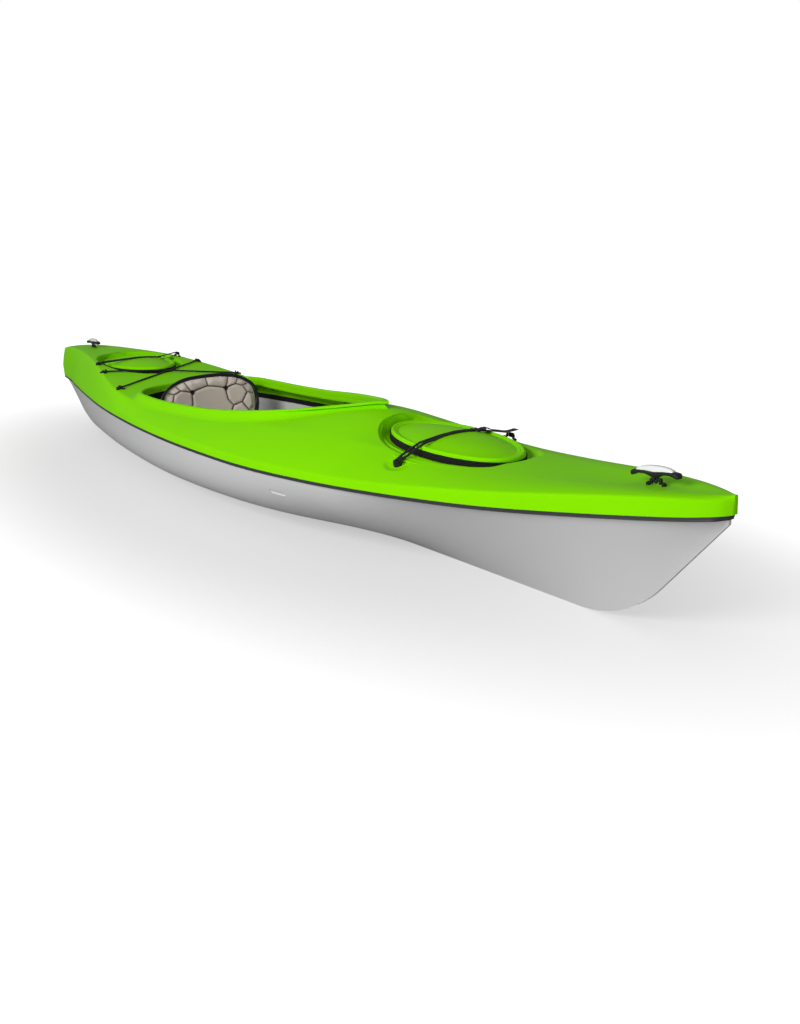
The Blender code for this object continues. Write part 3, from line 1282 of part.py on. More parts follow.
def make_brace(side):
    """A foot brace: the rail, the pedal that slides along it and the sprung lever that locks the pedal."""
    aft, fore = brace_line(side)
    way = fore - aft
    heading = math.atan2(way.y, way.x)
    name = side_name(side)
    carrier = empty_at("brace_" + name, (aft + fore) / 2, (0, 0, heading))
    inward = -side
    box("foot_rail_" + name, (way.length, BRACE_RAIL_WALL, BRACE_RAIL_HEIGHT), PLASTIC_BLACK, carrier,
        (0, inward * BRACE_RAIL_WALL / 2, 0))
    along = (PEDAL_X - (BRACE_AFT_X + BRACE_BOW_X) / 2) / math.cos(heading)
    slide = empty_at("pedal_slide_" + name, (along, inward * (BRACE_RAIL_WALL + CLEARANCE), 0))
    slide.parent = carrier
    block = box("foot_pedal_" + name, (CARRIAGE_LENGTH, CARRIAGE_WALL, CARRIAGE_HEIGHT), PLASTIC_BLACK, slide,
                (0, inward * CARRIAGE_WALL / 2, 0))
    out = inward * (PEDAL_WIDTH / 2 + CARRIAGE_WALL * 0.8)
    plate = box("pedal_plate_" + name, (PEDAL_WALL, PEDAL_WIDTH, PEDAL_HEIGHT), PLASTIC_BLACK, slide,
                (CARRIAGE_LENGTH / 2 - PEDAL_WALL / 2, out, PEDAL_HEIGHT / 2 - PEDAL_DROP))
    boolean(block, plate, "UNION")
    radius = LEVER_WALL / 2
    turns = np.radians(np.linspace(-90, 90, 7))
    outline = [(radius * math.cos(t), radius * math.sin(t)) for t in turns]
    outline += [(-LEVER_LENGTH, radius), (-LEVER_LENGTH, -radius)]
    pivot = (CARRIAGE_LENGTH / 2 - PEDAL_WALL - radius - 0.001, inward * (CARRIAGE_WALL + CLEARANCE + radius), 0)
    prism("lock_lever_" + name, outline, -LEVER_HEIGHT / 2, LEVER_HEIGHT / 2, PLASTIC_BLACK, slide, pivot)


def make_thigh_pad(side):
    """A foam pad under the deck beside the cockpit, for the paddler's thigh."""
    rings = []
    near, far = THIGH_PAD_Y, THIGH_PAD_Y + THIGH_PAD_WIDTH
    for x in np.linspace(THIGH_PAD_AFT_X, THIGH_PAD_AFT_X + THIGH_PAD_LENGTH, 4):
        top = [deck_height(x, y) - DECK_WALL * 1.3 - 2 * CLEARANCE for y in (near, far)]
        rings.append([
            (x, side * near, top[0] - THIGH_PAD_WALL), (x, side * far, top[1] - THIGH_PAD_WALL),
            (x, side * far, top[1]), (x, side * near, top[0]),
        ])
    return loft("thigh_pad_" + side_name(side), rings, FOAM_GREY)


def main():
    """Builds the kayak."""
    clear_scene()
    make_hull()
    make_deck()
    make_trim()
    make_bulkhead("bow_bulkhead", BOW_BULKHEAD_X)
    make_bulkhead("stern_bulkhead", STERN_BULKHEAD_X)
    for hatch in HATCHES:
        hatch.make()
    make_handle("bow_handle", BOW_HANDLE_X)
    make_handle("stern_handle", STERN_HANDLE_X)
    make_bungee("bungee_low", (BUNGEE_FORWARD[0], -BUNGEE_FORWARD[1]), BUNGEE_AFT, 0.0)
    make_bungee("bungee_high", BUNGEE_FORWARD, (BUNGEE_AFT[0], -BUNGEE_AFT[1]), BUNGEE_DIAMETER + 3 * CLEARANCE)
    make_seat()
    make_backrest()
    for side in (-1, 1):
        make_bond(side)
        make_seat_rail(side)
        make_brace(side)
        make_thigh_pad(side)


main()
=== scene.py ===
"""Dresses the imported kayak: fair skins, hatches, seat, handles, cords, finishes and the studio.

Every length is in metres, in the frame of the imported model: +X towards the bow, +Y to port, +Z up.
"""

from __future__ import annotations

import json
import logging
import math
from collections.abc import Callable, Iterator, Sequence
from contextlib import contextmanager
from dataclasses import dataclass, field
from enum import Enum
from functools import lru_cache

import bmesh
import bpy
import numpy as np
from mathutils import Matrix, Vector

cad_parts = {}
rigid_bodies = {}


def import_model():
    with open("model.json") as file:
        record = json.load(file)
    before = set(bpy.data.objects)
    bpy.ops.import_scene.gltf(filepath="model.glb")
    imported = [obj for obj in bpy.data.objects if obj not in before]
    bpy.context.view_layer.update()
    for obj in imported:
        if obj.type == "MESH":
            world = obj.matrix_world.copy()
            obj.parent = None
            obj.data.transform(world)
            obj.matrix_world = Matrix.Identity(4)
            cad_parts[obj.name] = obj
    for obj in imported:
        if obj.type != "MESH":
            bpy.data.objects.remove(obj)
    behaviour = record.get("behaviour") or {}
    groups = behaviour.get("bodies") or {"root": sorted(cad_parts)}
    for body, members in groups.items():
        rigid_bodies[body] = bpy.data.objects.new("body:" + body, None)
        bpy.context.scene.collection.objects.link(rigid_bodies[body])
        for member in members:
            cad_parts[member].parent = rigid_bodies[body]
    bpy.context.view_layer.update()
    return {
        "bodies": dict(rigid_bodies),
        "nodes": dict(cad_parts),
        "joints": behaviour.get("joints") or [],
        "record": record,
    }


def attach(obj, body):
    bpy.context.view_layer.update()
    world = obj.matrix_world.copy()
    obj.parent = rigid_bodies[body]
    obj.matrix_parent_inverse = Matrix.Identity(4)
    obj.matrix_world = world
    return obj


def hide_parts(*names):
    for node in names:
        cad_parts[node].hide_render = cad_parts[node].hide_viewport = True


log = logging.getLogger("kayak")

Table = tuple[tuple[float, float], ...]
Colour = tuple[float, float, float]
Piece = bpy.types.Object
Socket = bpy.types.NodeSocket
BLACK_PLASTIC = "black_plastic"


class Side(Enum):
    """A side of the boat, as the sign of its Y."""

    STARBOARD = -1
    PORT = 1

    @property
    def word(self) -> str:
        """Name of the side in piece names."""
        return self.name.lower()


class Weave(Enum):
    """How a textile's surface is laid."""

    PLAIN = "plain"
    BRAID = "braid"
    RIB = "rib"


class NodeTree:
    """A material's nodes, made and linked in a few words."""

    def __init__(self, name: str) -> None:
        """Starts a material.

        Args:
            name: Name of the material.
        """
        self.material = bpy.data.materials.new(name)
        self.material.use_nodes = True
        self.tree = self.material.node_tree
        self.shader = self.tree.nodes["Principled BSDF"]

    def add(
        self, kind: str, inputs: dict[str | int, object] | None = None, **settings: object,
    ) -> bpy.types.Node:
        """Adds a node.

        Args:
            kind: Type of the node.
            inputs: Value, or output socket, for each named or numbered input.
            **settings: Properties of the node.

        Returns:
            The new node.
        """
        node = self.tree.nodes.new(kind)
        for name, value in settings.items():
            setattr(node, name, value)
        for name, value in (inputs or {}).items():
            self.feed(node.inputs[name], value)
        return node

    def feed(self, socket: Socket, value: object) -> None:
        """Gives a socket a value, or links another node's output to it.

        Args:
            socket: The input.
            value: A number, colour or output socket.
        """
        if isinstance(value, Socket):
            self.tree.links.new(value, socket)
        else:
            socket.default_value = value

    def maths(self, operation: str, a: object, b: object = 0.0) -> Socket:
        """Output of a Math node with two operands."""
        return self.add("ShaderNodeMath", {0: a, 1: b}, operation=operation).outputs[0]

    def place(self, scale: Sequence[float] = (1, 1, 1), turn: Sequence[float] = (0, 0, 0)) -> Socket:
        """Object coordinates, scaled and turned."""
        where = self.add("ShaderNodeTexCoord").outputs["Object"]
        fed = {"Vector": where, "Scale": scale, "Rotation": turn}
        return self.add("ShaderNodeMapping", fed).outputs["Vector"]

    def noise(self, scale: float, detail: float = 2.0, vector: Socket | None = None) -> Socket:
        """Value of a noise over the object.

        Args:
            scale: Features per metre.
            detail: Octaves.
            vector: Coordinates, or None for the object's own.

        Returns:
            The factor output.
        """
        source = vector if vector is not None else self.place()
        node = self.add("ShaderNodeTexNoise", {"Vector": source, "Scale": scale, "Detail": detail})
        return node.outputs["Fac"]

    def between(self, factor: object, low: float, high: float) -> Socket:
        """A factor from 0 to 1 laid between two values."""
        span = {"Value": factor, "To Min": low, "To Max": high}
        return self.add("ShaderNodeMapRange", span).outputs["Result"]

    def blend(self, factor: object, *ends: Colour | Socket) -> Socket:
        """A colour between two by a factor.

        Args:
            factor: Share of the second one.
            *ends: Both colours, or sockets that give them.

        Returns:
            The colour output.
        """
        node = self.add("ShaderNodeMix", data_type="RGBA")
        self.feed(node.inputs["Factor"], factor)
        for socket, value in zip([s for s in node.inputs if s.type == "RGBA"], ends):
            self.feed(socket, value if isinstance(value, Socket) else (*value, 1.0))
        return next(s for s in node.outputs if s.type == "RGBA")

    def relief(self, height: object, distance: float, strength: float, under: Socket | None = None) -> Socket:
        """A bump from a height factor.

        Args:
            height: Height from 0 to 1.
            distance: Height of 1, in metres.
            strength: Share of the bump that shows.
            under: Normal output of another bump below this one.

        Returns:
            The normal output.
        """
        node = self.add("ShaderNodeBump", {"Height": height, "Distance": distance, "Strength": strength})
        if under is not None:
            self.feed(node.inputs["Normal"], under)
        return node.outputs["Normal"]

    def surface(self, **values: object) -> bpy.types.Material:
        """Feeds the shader and gives the material.

        Args:
            **values: Value or socket for each shader input, with underscores for spaces.

        Returns:
            The finished material.
        """
        for name, value in values.items():
            self.feed(self.shader.inputs[name.replace("_", " ")], value)
        return self.material


class Finish:
    """A finish, made into a material when a piece first wears it."""

    def material(self) -> bpy.types.Material:
        """The finish as a material."""
        return bpy.data.materials.get(self.name) or self.build(NodeTree(self.name))


@dataclass(frozen=True)
class Moulded(Finish):
    """A moulded plastic or rubber finish.

    Attributes:
        name: Name of the material.
        colour: Linear colour.
        shade: The same colour where it is a little duller.
        roughness: Lowest and highest roughness.
        grain: Size of the fine texture.
        depth: Height of that texture.
        coat: Weight of the clear gloss on top.
        mirror: Strength of its reflection.
        tint: Colour of its reflection.
    """

    name: str
    colour: Colour
    shade: Colour
    roughness: tuple[float, float]
    grain: float = 0.0012
    depth: float = 0.00002
    coat: float = 0.0
    mirror: float = 0.5
    tint: Colour = (1.0, 1.0, 1.0)

    def build(self, tree: NodeTree) -> bpy.types.Material:
        """A drifting colour, worn roughness, a fine grain and the slow waves of a formed sheet."""
        drift = tree.noise(7.0, 3.0)
        handling = tree.noise(60.0, 4.0)
        fine = tree.noise(1.0 / self.grain, 2.0)
        wave = tree.relief(tree.noise(14.0, 1.0), 0.0006, 0.25)
        return tree.surface(
            Base_Color=tree.blend(tree.between(drift, 0.0, 1.0), self.colour, self.shade),
            Roughness=tree.between(handling, *self.roughness),
            Coat_Weight=self.coat, Coat_Roughness=0.12,
            Specular_IOR_Level=self.mirror, Specular_Tint=(*self.tint, 1.0),
            Normal=tree.relief(fine, self.depth, 0.6, wave),
        )


@dataclass(frozen=True)
class Textile(Finish):
    """A woven, braided or ribbed textile.

    Attributes:
        name: Name of the material.
        colour: Linear colour of the yarn's crown.
        shade: Colour between the yarns, painted shade in the hollows of the weave.
        weave: How the yarns are laid.
        pitch: Distance between yarns.
        depth: Height of the yarns.
        sheen: Weight of the fibres' sheen.
        thread: Colour in a sewn channel, painted shade in its groove.
    """

    name: str
    colour: Colour
    shade: Colour
    weave: Weave
    pitch: float
    depth: float
    sheen: float = 0.1
    thread: Colour = (0.03, 0.026, 0.023)

    def bands(self, tree: NodeTree, way: str) -> Socket:
        """Even bands across one direction.

        Args:
            tree: The material's nodes.
            way: X, Y, Z or DIAGONAL.

        Returns:
            The factor output.
        """
        scale = math.pi / 20.0 / self.pitch
        inputs = {"Vector": tree.place(), "Scale": scale, "Distortion": 0.4}
        return tree.add("ShaderNodeTexWave", inputs, wave_type="BANDS", bands_direction=way).outputs["Fac"]

    def build(self, tree: NodeTree) -> bpy.types.Material:
        """Yarns with fuzz and worn tones, painted shade between the yarns, and painted shade in the sewn
        channels where the mesh marks them.
        """
        if self.weave is Weave.RIB:
            yarn = self.bands(tree, "X")
        elif self.weave is Weave.BRAID:
            yarn = tree.maths("MAXIMUM", self.bands(tree, "DIAGONAL"), self.bands(tree, "Z"))
        else:
            yarn = tree.maths("MULTIPLY", self.bands(tree, "Y"), self.bands(tree, "Z"))
        fuzz = tree.noise(900.0, 3.0)
        worn = tree.noise(9.0, 3.0)
        height = tree.maths("ADD", tree.maths("MULTIPLY", yarn, 0.75), tree.maths("MULTIPLY", fuzz, 0.25))
        # The colour falls towards shade between the yarns, a painted shade in the weave's hollows; the worn
        # noise varies the tone at random.
        weave_shade_and_wear = tree.maths("MULTIPLY", tree.between(yarn, 0.55, 1.0), tree.between(worn, 0.85, 1.0))
        # The seam attribute darkens the sewn channels: painted shade in their grooves.
        channel_shade_mask = tree.add("ShaderNodeAttribute", attribute_name="seam", attribute_type="GEOMETRY")
        seam = channel_shade_mask.outputs["Fac"]
        cloth = tree.blend(weave_shade_and_wear, self.shade, self.colour)
        return tree.surface(
            Base_Color=tree.blend(tree.maths("MULTIPLY", seam, 0.82), cloth, self.thread),
            Sheen_Weight=self.sheen, Roughness=tree.between(fuzz, 0.78, 0.95), Specular_IOR_Level=0.25,
            Normal=tree.relief(height, self.depth, 0.7),
        )


@dataclass(frozen=True)
class Steel(Finish):
    """Brushed steel."""

    name: str = "stainless_steel"
    colour: Colour = (0.60, 0.60, 0.61)
    shade: Colour = (0.50, 0.50, 0.51)

    def build(self, tree: NodeTree) -> bpy.types.Material:
        """Fine scratches along the object's Y."""
        brushing = tree.noise(300.0, 3.0, tree.place(scale=(1.0, 0.05, 1.0)))
        return tree.surface(
            Base_Color=tree.blend(brushing, self.colour, self.shade), Metallic=1.0,
            Roughness=tree.between(brushing, 0.22, 0.38), Normal=tree.relief(brushing, 0.00002, 0.5),
        )


DECK_GREEN = Moulded(
    "lime_green_sheet", (0.245, 0.800, 0.0015), (0.228, 0.755, 0.001), (0.30, 0.40), 0.0016, mirror=0.02,
    tint=(0.35, 0.80, 0.02),
)
HULL_WHITE = Moulded(
    "off_white_sheet", (0.66, 0.66, 0.665), (0.635, 0.635, 0.64), (0.28, 0.38), 0.0016, coat=0.08, mirror=0.4,
)
TRIM_CHARCOAL = Moulded("charcoal_trim", (0.030, 0.030, 0.032), (0.024, 0.024, 0.026), (0.42, 0.55), 0.0009)
RUBBER = Moulded(
    "black_rubber", (0.008, 0.008, 0.008), (0.014, 0.014, 0.014), (0.62, 0.80), 0.0008, 0.00005, mirror=0.2,
)
PLASTIC = Moulded(
    "black_moulding", (0.010, 0.010, 0.011), (0.017, 0.017, 0.018), (0.36, 0.52), 0.0007, 0.00003,
    mirror=0.28,
)
SEAT_PLASTIC = Moulded(
    "seat_moulding", (0.030, 0.030, 0.032), (0.040, 0.040, 0.042), (0.45, 0.60), 0.0015, 0.00008,
)
PALE_CAP = Moulded("pale_cap", (0.90, 0.90, 0.90), (0.86, 0.86, 0.865), (0.20, 0.30), 0.0010, coat=0.4)
FOAM = Moulded("dark_foam", (0.075, 0.075, 0.080), (0.055, 0.055, 0.058), (0.85, 0.98), 0.0018, 0.0004)
CORD = Textile("braided_cord", (0.018, 0.018, 0.020), (0.004, 0.004, 0.004), Weave.BRAID, 0.0016, 0.0003)
WEBBING = Textile("black_webbing", (0.018, 0.018, 0.020), (0.006, 0.006, 0.006), Weave.RIB, 0.0016, 0.0003)
PIPING = Textile("black_piping", (0.014, 0.014, 0.015), (0.006, 0.006, 0.006), Weave.RIB, 0.0018, 0.0002)
PAD_CLOTH = Textile(
    "taupe_cloth", (0.84, 0.735, 0.655), (0.62, 0.530, 0.460), Weave.PLAIN, 0.0022, 0.00035, 0.35,
)
STEEL = Steel()


def pick_nothing() -> None:
    """Deselects every object."""
    if bpy.context.object and bpy.context.object.mode != "OBJECT":
        bpy.ops.object.mode_set(mode="OBJECT")
    bpy.ops.object.select_all(action="DESELECT")


def pick(*pieces: Piece) -> None:
    """Selects these objects alone and makes the first one active.

    Args:
        *pieces: The objects.
    """
    pick_nothing()
    for piece in pieces:
        piece.select_set(True)
    bpy.context.view_layer.objects.active = pieces[0]


@contextmanager
def editing(piece: Piece) -> Iterator[bmesh.types.BMesh]:
    """Edit mode on one piece, with its mesh open for selecting.

    Args:
        piece: The object to edit.

    Yields:
        The edit mesh.
    """
    pick(piece)
    bpy.ops.object.mode_set(mode="EDIT")
    yield bmesh.from_edit_mesh(piece.data)
    bmesh.update_edit_mesh(piece.data)
    bpy.ops.object.mode_set(mode="OBJECT")


def select(
    piece: Piece, kind: str, wanted: Callable[[bmesh.types.BMFace | bmesh.types.BMEdge], bool],
) -> None:
    """Selects faces or edges of the piece in edit mode by a test.

    Args:
        piece: The object in edit mode.
        kind: FACE or EDGE.
        wanted: Whether a face or edge is wanted.
    """
    bpy.ops.mesh.select_mode(type=kind)
    bpy.ops.mesh.select_all(action="DESELECT")
    mesh = bmesh.from_edit_mesh(piece.data)
    for part in mesh.faces if kind == "FACE" else mesh.edges:
        if wanted(part):
            part.select_set(True)
    if kind == "FACE":
        mesh.select_flush(True)
    bmesh.update_edit_mesh(piece.data)


def bevel_edges(
    piece: Piece, wanted: Callable[[bmesh.types.BMEdge], bool], offset: float, segments: int,
) -> None:
    """Bevels the edges of the piece in edit mode that pass a test.

    Args:
        piece: The object in edit mode.
        wanted: Whether an edge is wanted.
        offset: Width of the bevel.
        segments: Faces across it.
    """
    select(piece, "EDGE", wanted)
    bpy.ops.mesh.bevel(offset=offset, segments=segments, affect="EDGES")


def sink_top(piece: Piece, rim: float, slope: float, depth: float) -> None:
    """Leaves a rim round the piece's upper face and sinks what is inside it.

    Args:
        piece: The object.
        rim: Width of the rim.
        slope: Width of the sloping wall inside it.
        depth: How far the middle is sunk.
    """
    with editing(piece):
        select(piece, "FACE", lambda f: f.normal.z > 0.9)
        bpy.ops.mesh.inset(thickness=rim)
        bpy.ops.mesh.inset(thickness=slope)
        bpy.ops.mesh.extrude_region_move(TRANSFORM_OT_translate={"value": (0, 0, -depth)})


def edge_run(edge: bmesh.types.BMEdge, axis: int) -> float:
    """How far an edge runs along an axis."""
    return abs(edge.verts[0].co[axis] - edge.verts[1].co[axis])


def mesh_points(piece: Piece) -> np.ndarray:
    """The piece's vertices as an array."""
    return np.array([v.co[:] for v in piece.data.vertices])


def named(name: str) -> Piece:
    """Names the object that a primitive operator has just added.

    Args:
        name: Name of the piece.

    Returns:
        The object.
    """
    piece = bpy.context.object
    piece.name = name
    piece.data.name = name
    return piece


def settle(piece: Piece) -> Piece:
    """Applies the piece's place, turn and size to its mesh."""
    pick(piece)
    bpy.ops.object.transform_apply(location=True, rotation=True, scale=True)
    return piece


def modify(piece: Piece, kind: str, **settings: object) -> Piece:
    """Adds a modifier and applies it.

    Args:
        piece: The object.
        kind: Type of the modifier.
        **settings: Properties of the modifier.

    Returns:
        The same object.
    """
    pick(piece)
    modifier = piece.modifiers.new(kind.lower(), kind)
    for name, value in settings.items():
        setattr(modifier, name, value)
    bpy.ops.object.modifier_apply(modifier=modifier.name)
    return piece


def rounded_edges(piece: Piece, width: float, segments: int = 3, angle: float = 35.0) -> Piece:
    """Bevels the piece's sharp edges.

    Args:
        piece: The object.
        width: Width of the bevel.
        segments: Faces across it.
        angle: Angle in degrees from which an edge counts as sharp.

    Returns:
        The same object.
    """
    return modify(
        piece, "BEVEL", width=width, segments=segments, limit_method="ANGLE", angle_limit=math.radians(angle),
        use_clamp_overlap=True,
    )


def outward(piece: Piece) -> Piece:
    """Merges doubled points and turns every face outwards."""
    with editing(piece):
        bpy.ops.mesh.select_all(action="SELECT")
        bpy.ops.mesh.remove_doubles(threshold=1e-6)
        bpy.ops.mesh.normals_make_consistent(inside=False)
    return piece


def smoothed(piece: Piece, angle: float = 40.0) -> Piece:
    """Shades the piece smooth up to an angle in degrees."""
    pick(piece)
    bpy.ops.object.shade_smooth_by_angle(angle=math.radians(angle))
    return piece


def dressed(piece: Piece, finish: Finish, slot: str, body: str, *nodes: str) -> Piece:
    """Gives a finished piece its finish, its body and the CAD nodes that it stands for.

    Args:
        piece: The object, in its place.
        finish: Its finish.
        slot: Material slot in the record; not used.
        body: Body that it rides on.
        *nodes: CAD nodes that it replaces.

    Returns:
        The same object.
    """
    settle(piece)
    piece.data.materials.clear()
    piece.data.materials.append(finish.material())
    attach(piece, body)
    if nodes:
        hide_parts(*nodes)
    log.info("%s: %d faces", piece.name, len(piece.data.polygons))
    return piece


def cut(piece: Piece, cutter: Piece, operation: str = "DIFFERENCE", solver: str = "EXACT") -> Piece:
    """Cuts, joins or crosses a piece with another, and removes the other.

    Args:
        piece: The object to change.
        cutter: The other object.
        operation: Boolean operation.
        solver: Boolean solver.

    Returns:
        The same object.
    """
    modify(piece, "BOOLEAN", operation=operation, object=cutter, solver=solver)
    bpy.data.objects.remove(cutter, do_unlink=True)
    return piece


def laid(piece: Piece, points: np.ndarray) -> Piece:
    """Moves every vertex of a piece to its place.

    Args:
        piece: The object.
        points: One point for each vertex, in the mesh's order.

    Returns:
        The same object.
    """
    piece.data.vertices.foreach_set("co", np.asarray(points, np.float32).reshape(-1))
    piece.data.update()
    return piece


def sheet(name: str, points: np.ndarray) -> Piece:
    """A grid primitive laid over a surface.

    Args:
        name: Name of the piece.
        points: Points as rows, columns and coordinates.

    Returns:
        The object.
    """
    rows, columns = points.shape[:2]
    pick_nothing()
    bpy.ops.mesh.primitive_grid_add(x_subdivisions=columns - 1, y_subdivisions=rows - 1, size=2)
    return laid(named(name), points)


def hoop(name: str, rings: np.ndarray) -> Piece:
    """A grid primitive laid along a closed path and joined to itself both ways.

    Args:
        name: Name of the piece.
        rings: A closed section for each place of the path, as sections, points and coordinates.

    Returns:
        The object, with its faces outwards.
    """
    closed = np.concatenate([rings, rings[:1]])
    return outward(sheet(name, np.concatenate([closed, closed[:, :1]], axis=1)))


def prism(name: str, path: np.ndarray, low: float, high: float) -> Piece:
    """A circle primitive laid on a path and extruded upwards.

    Args:
        name: Name of the piece.
        path: Plan of the prism as (x, y) points.
        low: Height of its lower face.
        high: Height of its upper face.

    Returns:
        The object.
    """
    pick_nothing()
    bpy.ops.mesh.primitive_circle_add(vertices=len(path), radius=1, fill_type="NGON")
    piece = laid(named(name), np.column_stack([path, np.full(len(path), low)]))
    with editing(piece):
        bpy.ops.mesh.select_all(action="SELECT")
        bpy.ops.mesh.extrude_region_move(TRANSFORM_OT_translate={"value": (0, 0, high - low)})
    return outward(piece)


def block(name: str, size: Sequence[float], place: Sequence[float] = (0, 0, 0)) -> Piece:
    """A cube primitive of a size at a place, to be shaped further.

    Args:
        name: Name of the piece.
        size: Its length, width and height.
        place: Its centre.

    Returns:
        The object, with its place in its mesh.
    """
    pick_nothing()
    bpy.ops.mesh.primitive_cube_add(size=1, location=place)
    piece = named(name)
    piece.scale = size
    return settle(piece)


def cylinder(name: str, radius: float, length: float, place: Sequence[float] = (0, 0, 0),
             turn: Sequence[float] = (0, 0, 0), vertices: int = 32) -> Piece:
    """A cylinder primitive, to be shaped further.

    Args:
        name: Name of the piece.
        radius: Its radius.
        length: Its length along its own Z.
        place: Its centre.
        turn: Its turn about X, Y and Z.
        vertices: Sides of it.

    Returns:
        The object, with its place in its mesh.
    """
    pick_nothing()
    bpy.ops.mesh.primitive_cylinder_add(
        radius=radius, depth=length, vertices=vertices, location=place, rotation=turn)
    return settle(named(name))


def moved(piece: Piece, matrix: Matrix) -> Piece:
    """Moves a piece's mesh by a matrix."""
    piece.data.transform(matrix)
    piece.data.update()
    return piece


def joined(*pieces: Piece) -> Piece:
    """Joins several objects into the first one."""
    pick(*pieces)
    bpy.ops.object.join()
    return pieces[0]


def tube(name: str, points: Sequence[Sequence[float]], radius: float) -> Piece:
    """A round cord along points, with flat ends.

    Args:
        name: Name of the piece.
        points: Points of its centreline.
        radius: Its radius.

    Returns:
        The object as a mesh.
    """
    curve = bpy.data.curves.new(name, "CURVE")
    curve.dimensions = "3D"
    curve.bevel_depth = radius
    curve.bevel_resolution = 4
    curve.resolution_u = 4
    curve.use_fill_caps = True
    spline = curve.splines.new("NURBS")
    spline.points.add(len(points) - 1)
    for target, point in zip(spline.points, points):
        target.co = (*point, 1.0)
    spline.order_u = 3
    spline.use_endpoint_u = True
    piece = bpy.data.objects.new(name, curve)
    bpy.context.scene.collection.objects.link(piece)
    pick(piece)
    bpy.ops.object.convert(target="MESH")
    piece = bpy.context.object
    piece.name = name
    return outward(piece)


def monotone(points: Table, at: np.ndarray | float) -> np.ndarray:
    """Values of the smooth curve through (place, value) points, which never overshoots them.

    Args:
        points: Points of the curve, in order of place.
        at: Places to read.

    Returns:
        The value at each place.
    """
    places, values = np.array(points, float).T
    step = np.diff(places)
    rise = np.diff(values) / step
    slope = np.concatenate([rise[:1], np.zeros(len(rise) - 1), rise[-1:]])
    same_way = rise[:-1] * rise[1:] > 0
    heavy, light = 2 * step[1:] + step[:-1], step[1:] + 2 * step[:-1]
    safe_before, safe_after = np.where(same_way, rise[:-1], 1.0), np.where(same_way, rise[1:], 1.0)
    slope[1:-1] = np.where(same_way, (heavy + light) / (heavy / safe_before + light / safe_after), 0.0)
    at = np.clip(np.asarray(at, float), places[0], places[-1])
    i = np.clip(np.searchsorted(places, at, side="right") - 1, 0, len(step) - 1)
    t = (at - places[i]) / step[i]
    return (
        (1 + 2 * t) * (1 - t) ** 2 * values[i] + t * (1 - t) ** 2 * step[i] * slope[i]
        + t * t * (3 - 2 * t) * values[i + 1] + t * t * (t - 1) * step[i] * slope[i + 1]
    )


@lru_cache
def faired(table: Table) -> tuple[np.ndarray, np.ndarray]:
    """A table of offsets sampled finely and faired with a spline weight, but left alone at both ends.

    Args:
        table: Points as (share of the half length, value).

    Returns:
        Shares and values.
    """
    shares = np.linspace(-1, 1, 1601)
    values = monotone(table, shares)
    kernel = np.exp(-0.5 * (np.arange(-60, 61) / 17.0) ** 2)
    padded = np.pad(values, 60, mode="reflect", reflect_type="odd")
    fair = np.convolve(padded, kernel / kernel.sum(), mode="valid")
    keep = np.clip((np.abs(shares) - 0.90) / 0.06, 0, 1)
    return shares, fair * (1 - keep) + values * keep


def mitres(path: np.ndarray) -> np.ndarray:
    """Outward offset directions at the corners of an anticlockwise closed path.

    Args:
        path: Points of the path in the plan.

    Returns:
        A direction for each point, long enough to keep a band's width.
    """
    ahead = np.roll(path, -1, axis=0) - path
    ahead = ahead / np.linalg.norm(ahead, axis=1)[:, None]
    out = np.stack([ahead[:, 1], -ahead[:, 0]], axis=1)
    total = out + np.roll(out, 1, axis=0)
    return 2 * total / (total**2).sum(axis=1)[:, None]


def eased(share: np.ndarray) -> np.ndarray:
    """A smooth step, 0 below a share of 0 and 1 above 1."""
    share = np.clip(share, 0, 1)
    return share * share * (3 - 2 * share)


def stacked(*points: tuple[np.ndarray, np.ndarray]) -> np.ndarray:
    """Sections from arrays of (y, z), one pair for each corner."""
    return np.stack([np.stack(point, axis=-1) for point in points], axis=1)


def rounded_corners(polygon: np.ndarray, reach: Sequence[float], steps: Sequence[int]) -> np.ndarray:
    """Points along open polygons with rounded corners.

    Args:
        polygon: Corners of each section, as sections, corners and coordinates.
        reach: How far each inner corner's rounding runs along its sides.
        steps: Points on each inner corner's rounding.

    Returns:
        Points of each section.
    """
    parts = [polygon[:, :1]]
    for k in range(1, polygon.shape[1] - 1):
        before, corner, after = polygon[:, k - 1], polygon[:, k], polygon[:, k + 1]
        to_before, to_after = before - corner, after - corner
        long_before = np.linalg.norm(to_before, axis=1)[:, None]
        long_after = np.linalg.norm(to_after, axis=1)[:, None]
        far = np.minimum(reach[k - 1], 0.48 * np.minimum(long_before, long_after))
        start, end = corner + to_before / long_before * far, corner + to_after / long_after * far
        t = np.linspace(0, 1, steps[k - 1])[None, :, None]
        parts.append((1 - t) ** 2 * start[:, None] + 2 * t * (1 - t) * corner[:, None] + t * t * end[:, None])
    parts.append(polygon[:, -1:])
    return np.concatenate(parts, axis=1)


ALONG_Y = Matrix(((1, 0, 0, 0), (0, 0, -1, 0), (0, 1, 0, 0), (0, 0, 0, 1)))


def superellipse(half_width: float, half_height: float, power: float = 2.6, count: int = 24) -> np.ndarray:
    """A closed rounded section between an ellipse and a rectangle.

    Args:
        half_width: Half of its width.
        half_height: Half of its height.
        power: 2 for an ellipse, more for squarer corners.
        count: Number of points.

    Returns:
        Points as (across, up).
    """
    turn = np.linspace(0, 2 * math.pi, count, endpoint=False)
    ring = np.stack([np.cos(turn), np.sin(turn)], axis=1)
    return np.sign(ring) * np.abs(ring) ** (2 / power) * (half_width, half_height)


def loft(name: str, rings: np.ndarray) -> Piece:
    """A grid primitive wrapped round open rows of sections, with both ends filled.

    Args:
        name: Name of the piece.
        rings: A closed section for each place, as sections, points and coordinates.

    Returns:
        The object, with its faces outwards.
    """
    piece = outward(sheet(name, np.concatenate([rings, rings[:, :1]], axis=1)))
    with editing(piece):
        bpy.ops.mesh.select_all(action="SELECT")
        bpy.ops.mesh.fill_holes(sides=0)
    return outward(piece)


